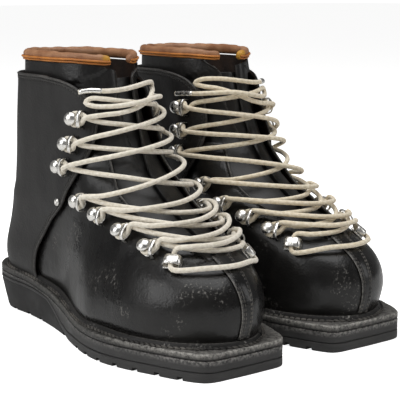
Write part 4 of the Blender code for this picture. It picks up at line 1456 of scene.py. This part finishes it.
def collar_lines(count):
    """Middle line of the collar roll with its outward directions, outer end to inner end."""
    turn = np.linspace(0.022, 0.952, count)
    base, normal, _, _ = skin_frame(np.full(count, 12.9), turn)
    lift = 2.2 - 2.6 * np.clip(1 - np.minimum(turn, 1 - turn) / 0.14, 0, 1)
    return base + normal * -4.2 + np.stack([0 * lift, 0 * lift, lift], 1), normal


def stuff(obj, frames, cap):
    """Blow a closed cover up with cloth, and stop any point from moving further than cap."""
    before = np.array([vertex.co for vertex in obj.data.vertices])
    cloth = obj.modifiers.new("stuffing", "CLOTH")
    cloth.settings.use_pressure = True
    cloth.settings.uniform_pressure_force = 4.0
    cloth.settings.quality = 4
    cloth.settings.mass = 0.3
    cloth.settings.effector_weights.gravity = 0.0
    cloth.collision_settings.use_collision = False
    scene = bpy.context.scene
    for number in range(1, frames + 1):
        scene.frame_set(number)
    bake(obj)
    scene.frame_set(1)
    after = np.array([vertex.co for vertex in obj.data.vertices])
    move = after - before
    length = np.linalg.norm(move, axis=1)
    scale = np.minimum(1.0, cap / np.maximum(length, 1e-9))
    obj.data.vertices.foreach_set("co", (before + move * scale[:, None]).ravel())
    obj.data.update()


class BOOTS_OT_collars(bpy.types.Operator):
    """Stuff the collar roll and lay its double piping"""

    bl_idname = "boots.collars"
    bl_label = "Collars"

    def execute(self, context):
        count, sides = 150, 22
        line, normal = collar_lines(count)
        share = np.linspace(0, 1, count)
        ends = np.minimum(share, 1 - share) * 300
        grow = np.sqrt(np.clip(1 - (1 - np.clip(ends / 5.0, 0, 1)) ** 2, 0.02, 1))
        # uneven stuffing and the tucks that the top seam pulls in
        lump = 1 + 0.05 * np.sin(share * 31) + 0.04 * np.sin(share * 57 + 1)
        angles = np.linspace(0, 2 * np.pi, sides, endpoint=False)
        for boot in BOOTS:
            points = []
            for k in range(count):
                size = 0.88 * grow[k] * lump[k]
                pull = 0.06 * (1 + math.sin(share[k] * 120))
                for angle in angles:
                    tuck = 1 - pull * max(0, math.sin(angle)) ** 3
                    points.append(line[k] + normal[k] * COLLAR_HALF_WIDTH * size * math.cos(angle)
                                  + np.array((0, 0, COLLAR_HALF_HEIGHT * size * tuck
                                              * math.sin(angle))))
            faces = [tuple(range(sides)), tuple((count - 1) * sides + k for k in range(sides)),
                     *ring_faces(count, sides)]
            roll = mesh_piece(boot, "collar_roll", np.array(points), faces,
                              finish("tan_glove_leather"))
            face_outward(roll.data)
            even = roll.modifiers.new("even mesh", "REMESH")
            even.mode = "VOXEL"
            even.voxel_size = 0.0016
            bake(roll)
            stuff(roll, 20, 0.0011)
            finer = roll.modifiers.new("finer", "SUBSURF")
            finer.levels = finer.render_levels = 1
            bake(roll)
            roll.data.polygons.foreach_set("use_smooth", [True] * len(roll.data.polygons))
            # painted highlight: a bright spot near the outer front end of the roll, kept in the same
            # per-point attribute as the rubbing elsewhere
            painted_highlight_spot = boot.world(line[2] + normal[2] * 2.0)
            rubbing_and_painted_highlight = [0.95 * float(ease(-np.linalg.norm(np.array(vertex.co) - painted_highlight_spot), -0.0065, -0.003))
                   for vertex in roll.data.vertices]
            roll.data.attributes.new("worn", "FLOAT", "POINT").data.foreach_set("value", rubbing_and_painted_highlight)
            seat(roll, boot, "collar_leather", "collar_pad")
            for word, angle, size in (("upper", -0.42, 1.08), ("lower", -0.86, 1.1)):
                grown = np.maximum(grow, 0.75)[:, None]
                cord = line + normal * COLLAR_HALF_WIDTH * size * math.cos(angle) * grown
                cord[:, 2] += COLLAR_HALF_HEIGHT * size * math.sin(angle) * grown[:, 0]
                verts, rows, _ = tube(smooth_path(cord[1:-1:3], 1.2), 0.85, 10)
                pipe = mesh_piece(boot, f"piping_{word}", verts, rows,
                                  finish("orange_piping_leather"))
                seat(pipe, boot, "collar_leather")
        return {"FINISHED"}


# ---------------------------------------------------------------- metalwork


def lathe(profile, segments):
    """Closed turned shape from a profile of radius and height, top to foot, in millimetres."""
    profile = smooth_path(profile, 0.35)
    points = []
    for radius, height in profile:
        for k in range(segments):
            a = 2 * math.pi * k / segments
            points.append((radius * math.cos(a) * MM, radius * math.sin(a) * MM, height * MM))
    last = (len(profile) - 1) * segments
    return points, [*ring_faces(len(profile), segments), tuple(reversed(range(segments))),
                    tuple(range(last, last + segments))]


def band(path, width, thick):
    """Bent flat band whose path lies in the X-Z plane, width along Y, in millimetres."""
    path = smooth_path(path, 0.7)
    ahead = unit(np.gradient(path, axis=0))
    side = np.stack([-ahead[:, 1], ahead[:, 0]], 1)
    half, rim = width / 2, min(0.3, thick / 2.5)
    loop = [(-half, -thick / 2 + rim), (-half + rim, -thick / 2), (half - rim, -thick / 2),
            (half, -thick / 2 + rim), (half, thick / 2 - rim), (half - rim, thick / 2),
            (-half + rim, thick / 2), (-half, thick / 2 - rim)]
    points = []
    for point, way in zip(path, side):
        for y, up in loop:
            x, z = point + way * up
            points.append((x * MM, y * MM, z * MM))
    last = len(points) - len(loop)
    return points, [*ring_faces(len(path), len(loop)), tuple(reversed(range(len(loop)))),
                    tuple(range(last, len(points)))]


def fitting(name, *shapes):
    """One object from several shapes, its faces turned outward."""
    mesh = bpy.data.meshes.new(name)
    points, faces = [], []
    for some, sides in shapes:
        first = len(points)
        points += some
        faces += [tuple(first + index for index in face) for face in sides]
    mesh.from_pydata(points, [], faces)
    face_outward(mesh)
    obj = put(name, mesh)
    shade_by_angle(obj, 50)
    return obj


def moved(shape, x=0.0, y=0.0, z=0.0, quarter=False):
    """Shape moved in millimetres, first turned a quarter about Z if asked."""
    points, faces = shape
    if quarter:
        points = [(-b, a, c) for a, b, c in points]
    return [(a + x * MM, b + y * MM, c + z * MM) for a, b, c in points], faces


def stand(boot, name, template, places, *nodes):
    """Stand a fitting at each place (section, turn, outside, depth) on a boot."""
    points, facing, away = [], [], []
    for number, turn, outside, depth in places:
        point, normal, along, _ = skin_frame(number, turn if outside else 1 - turn)
        out = along if outside else -along
        points.append(boot.world(point + normal * depth))
        facing.append(boot.turned(normal))
        away.append(boot.turned(out))
    mesh = bpy.data.meshes.new(f"{boot.name}_{name}")
    mesh.from_pydata([point.tolist() for point in points], [], [])
    for key, values in (("facing", facing), ("away", away)):
        mesh.attributes.new(key, "FLOAT_VECTOR", "POINT").data.foreach_set(
            "vector", np.array(values, np.float32).ravel())
    obj = put(f"{boot.name}_{name}", mesh)
    run_tree(obj, fixture_tree(), fitting=template, metal=finish("chromed_steel"))
    return seat(obj, boot, "chrome_steel", *nodes)


class BOOTS_OT_metalwork(bpy.types.Operator):
    """Fix the domed hooks, the bottom loops and the cuff rivets"""

    bl_idname = "boots.metalwork"
    bl_label = "Hooks, loops and rivets"

    def execute(self, context):
        dome = lathe(((0.02, 9.75), (1.6, 9.6), (3.3, 9.0), (4.7, 7.9), (5.3, 6.7),
                              (5.0, 6.0), (3.6, 5.8), (1.7, 5.7), (0.02, 5.7)), 28)
        neck = lathe(((0.02, 6.2), (1.45, 6.1), (1.4, 5.2), (1.35, 3.2), (1.45, 1.6),
                              (2.4, 1.0), (4.6, 0.85), (5.3, 0.5), (5.35, 0.05), (4.9, 0.0),
                              (0.02, 0.0)), 28)
        arch = band(((-6.6, 0.5), (-6.7, 3.0), (-6.2, 6.2), (-3.6, 8.1), (0.0, 8.5), (3.6, 8.1),
                     (6.2, 6.2), (6.7, 3.0), (6.6, 0.5)), 3.0, 0.8)
        hook = fitting("hook", moved(dome, x=2.4), neck, moved(arch, x=-5.2, quarter=True))
        tunnel = band(((-4.2, 0.5), (-6.0, 1.2), (-6.2, 3.6), (-4.6, 6.1), (0.0, 6.6), (4.6, 6.1),
                       (6.2, 3.6), (6.0, 1.2), (4.2, 0.5)), 8.0, 0.9)
        plate = band(((-6.6, 0.35), (0.0, 0.3), (6.6, 0.35)), 8.6, 0.6)
        loop = fitting("loop", tunnel, plate)
        rivet = fitting("rivet", lathe(((0.02, 1.0), (0.8, 1.1), (1.4, 1.6), (2.2, 1.5),
                                                 (2.9, 0.8), (3.0, 0.05), (2.6, 0.0),
                                                 (0.02, 0.0)), 24))
        for boot in BOOTS:
            places, names = [], []
            for word, hooks in (("outer", OUTER_HOOKS), ("inner", INNER_HOOKS)):
                for index, (number, turn) in enumerate(hooks):
                    depth = hook_place(number, turn, word == "outer")[2] - 0.2
                    places.append((number, turn, word == "outer", depth))
                    names.append(f"{word}_hook_{index + 1}")
            stand(boot, "chromed_hooks", hook, places, *names)
            stand(boot, "chromed_loops", loop, (
                (*OUTER_LOOP, True, 0.1), (*INNER_LOOP, False, 0.1)), "outer_loop", "inner_loop")
            stand(boot, "chromed_rivets", rivet, (
                (*RIVET, True, CUFF_OUT + 0.1), (*RIVET, False, CUFF_OUT + 0.1)),
                "outer_rivet", "inner_rivet")
        for template in (hook, loop, rivet):
            bpy.data.objects.remove(template, do_unlink=True)
        return {"FINISHED"}


# ---------------------------------------------------------------- stage


def softbox(name, place, target, size, power):
    """Area light aimed at a point."""
    light = bpy.data.lights.new(name, "AREA")
    light.shape = "RECTANGLE"
    light.size, light.size_y = size
    light.energy = power
    obj = bpy.data.objects.new(name, light)
    obj.location = place
    obj.rotation_euler = (Vector(target) - Vector(place)).to_track_quat("-Z", "Y").to_euler()
    bpy.context.scene.collection.objects.link(obj)


class BOOTS_OT_stage(bpy.types.Operator):
    """Set the camera, the floor and the studio light"""

    bl_idname = "boots.stage"
    bl_label = "Camera, floor and light"

    def execute(self, context):
        scene = context.scene
        camera = bpy.data.cameras.new("camera")
        camera.lens = 111.7
        camera.sensor_width = 36.0
        camera.shift_x, camera.shift_y = 0.00625, -0.00325
        camera.clip_start, camera.clip_end = 0.05, 50.0
        view = bpy.data.objects.new("camera", camera)
        view.location = (-0.5973, -0.7857, 0.2637)
        view.rotation_euler = Vector((0.6058, 0.7782, -0.1652)).to_track_quat("-Z", "Y").to_euler()
        scene.collection.objects.link(view)
        scene.camera = view
        mesh = bpy.data.meshes.new("floor")
        mesh.from_pydata([(-20, -20, -0.0002), (20, -20, -0.0002), (20, 20, -0.0002),
                          (-20, 20, -0.0002)], [], [(0, 1, 2, 3)])
        material, tree, place = new_material("pale_paper_floor")
        # the paper has lamps of its own behind the boots, which do not reach the leather
        seen = node(tree, "ShaderNodeLightPath").outputs["Is Camera Ray"]
        surface(material, {
            "Base Color": tinted(tree, noise(tree, place, 300.0, 2.0), "#fbfbfa", "#f6f6f5"),
            "Roughness": 0.9,
            "Emission Color": (1, 1, 1, 1),
            "Emission Strength": maths(tree, "MULTIPLY", seen, 0.8)})
        floor = put("floor", mesh, material)
        world = bpy.data.worlds.new("studio")
        world.use_nodes = True
        tree = world.node_tree
        tree.nodes.clear()
        seen = node(tree, "ShaderNodeBackground", {"Color": (1, 1, 1, 1), "Strength": 1.15})
        fill = node(tree, "ShaderNodeBackground", {"Color": (1, 1, 1, 1), "Strength": 0.16})
        path = node(tree, "ShaderNodeLightPath")
        both = node(tree, "ShaderNodeMixShader", {0: path.outputs["Is Camera Ray"],
                                                  1: fill.outputs[0], 2: seen.outputs[0]})
        node(tree, "ShaderNodeOutputWorld", {"Surface": both.outputs[0]})
        scene.world = world
        scene.view_settings.view_transform = "Standard"
        middle = (0.0, 0.0, 0.1)
        softbox("top_light", (-0.2, -0.2, 1.7), middle, (1.6, 1.6), 24)
        softbox("left_light", (-1.9, 0.3, 1.0), middle, (1.2, 1.4), 16)
        softbox("right_light", (1.3, -1.4, 0.9), middle, (0.5, 1.2), 5)
        return {"FINISHED"}


# ---------------------------------------------------------------- panel and run

OPERATORS = (BOOTS_OT_stage, BOOTS_OT_laces, BOOTS_OT_soles, BOOTS_OT_welts, BOOTS_OT_insoles,
             BOOTS_OT_vamps, BOOTS_OT_toe_strips, BOOTS_OT_cuffs, BOOTS_OT_inner_boots,
             BOOTS_OT_tongues, BOOTS_OT_collars, BOOTS_OT_metalwork)


class BOOTS_PT_panel(bpy.types.Panel):
    """Sizes, colours and the steps that make the boots"""

    bl_label = "Mountaineering boots"
    bl_idname = "BOOTS_PT_panel"
    bl_space_type = "VIEW_3D"
    bl_region_type = "UI"
    bl_category = "Boots"

    def draw(self, context):
        for group in (context.scene.boot_sizes, context.scene.boot_colours):
            box = self.layout.box()
            for key in group.bl_rna.properties.keys():
                if key not in ("rna_type", "name"):
                    box.prop(group, key)
        for operator in OPERATORS:
            self.layout.operator(operator.bl_idname)


CLASSES = (BootSizes, BootColours, *OPERATORS, BOOTS_PT_panel)


def register():
    for cls in CLASSES:
        bpy.utils.register_class(cls)
    bpy.types.Scene.boot_sizes = bpy.props.PointerProperty(type=BootSizes)
    bpy.types.Scene.boot_colours = bpy.props.PointerProperty(type=BootColours)


def unregister():
    del bpy.types.Scene.boot_colours
    del bpy.types.Scene.boot_sizes
    for cls in reversed(CLASSES):
        bpy.utils.unregister_class(cls)


def main():
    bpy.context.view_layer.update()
    register()
    for operator in OPERATORS:
        getattr(bpy.ops.boots, operator.bl_idname.split(".")[1])()


if __name__ == "__main__":
    main()
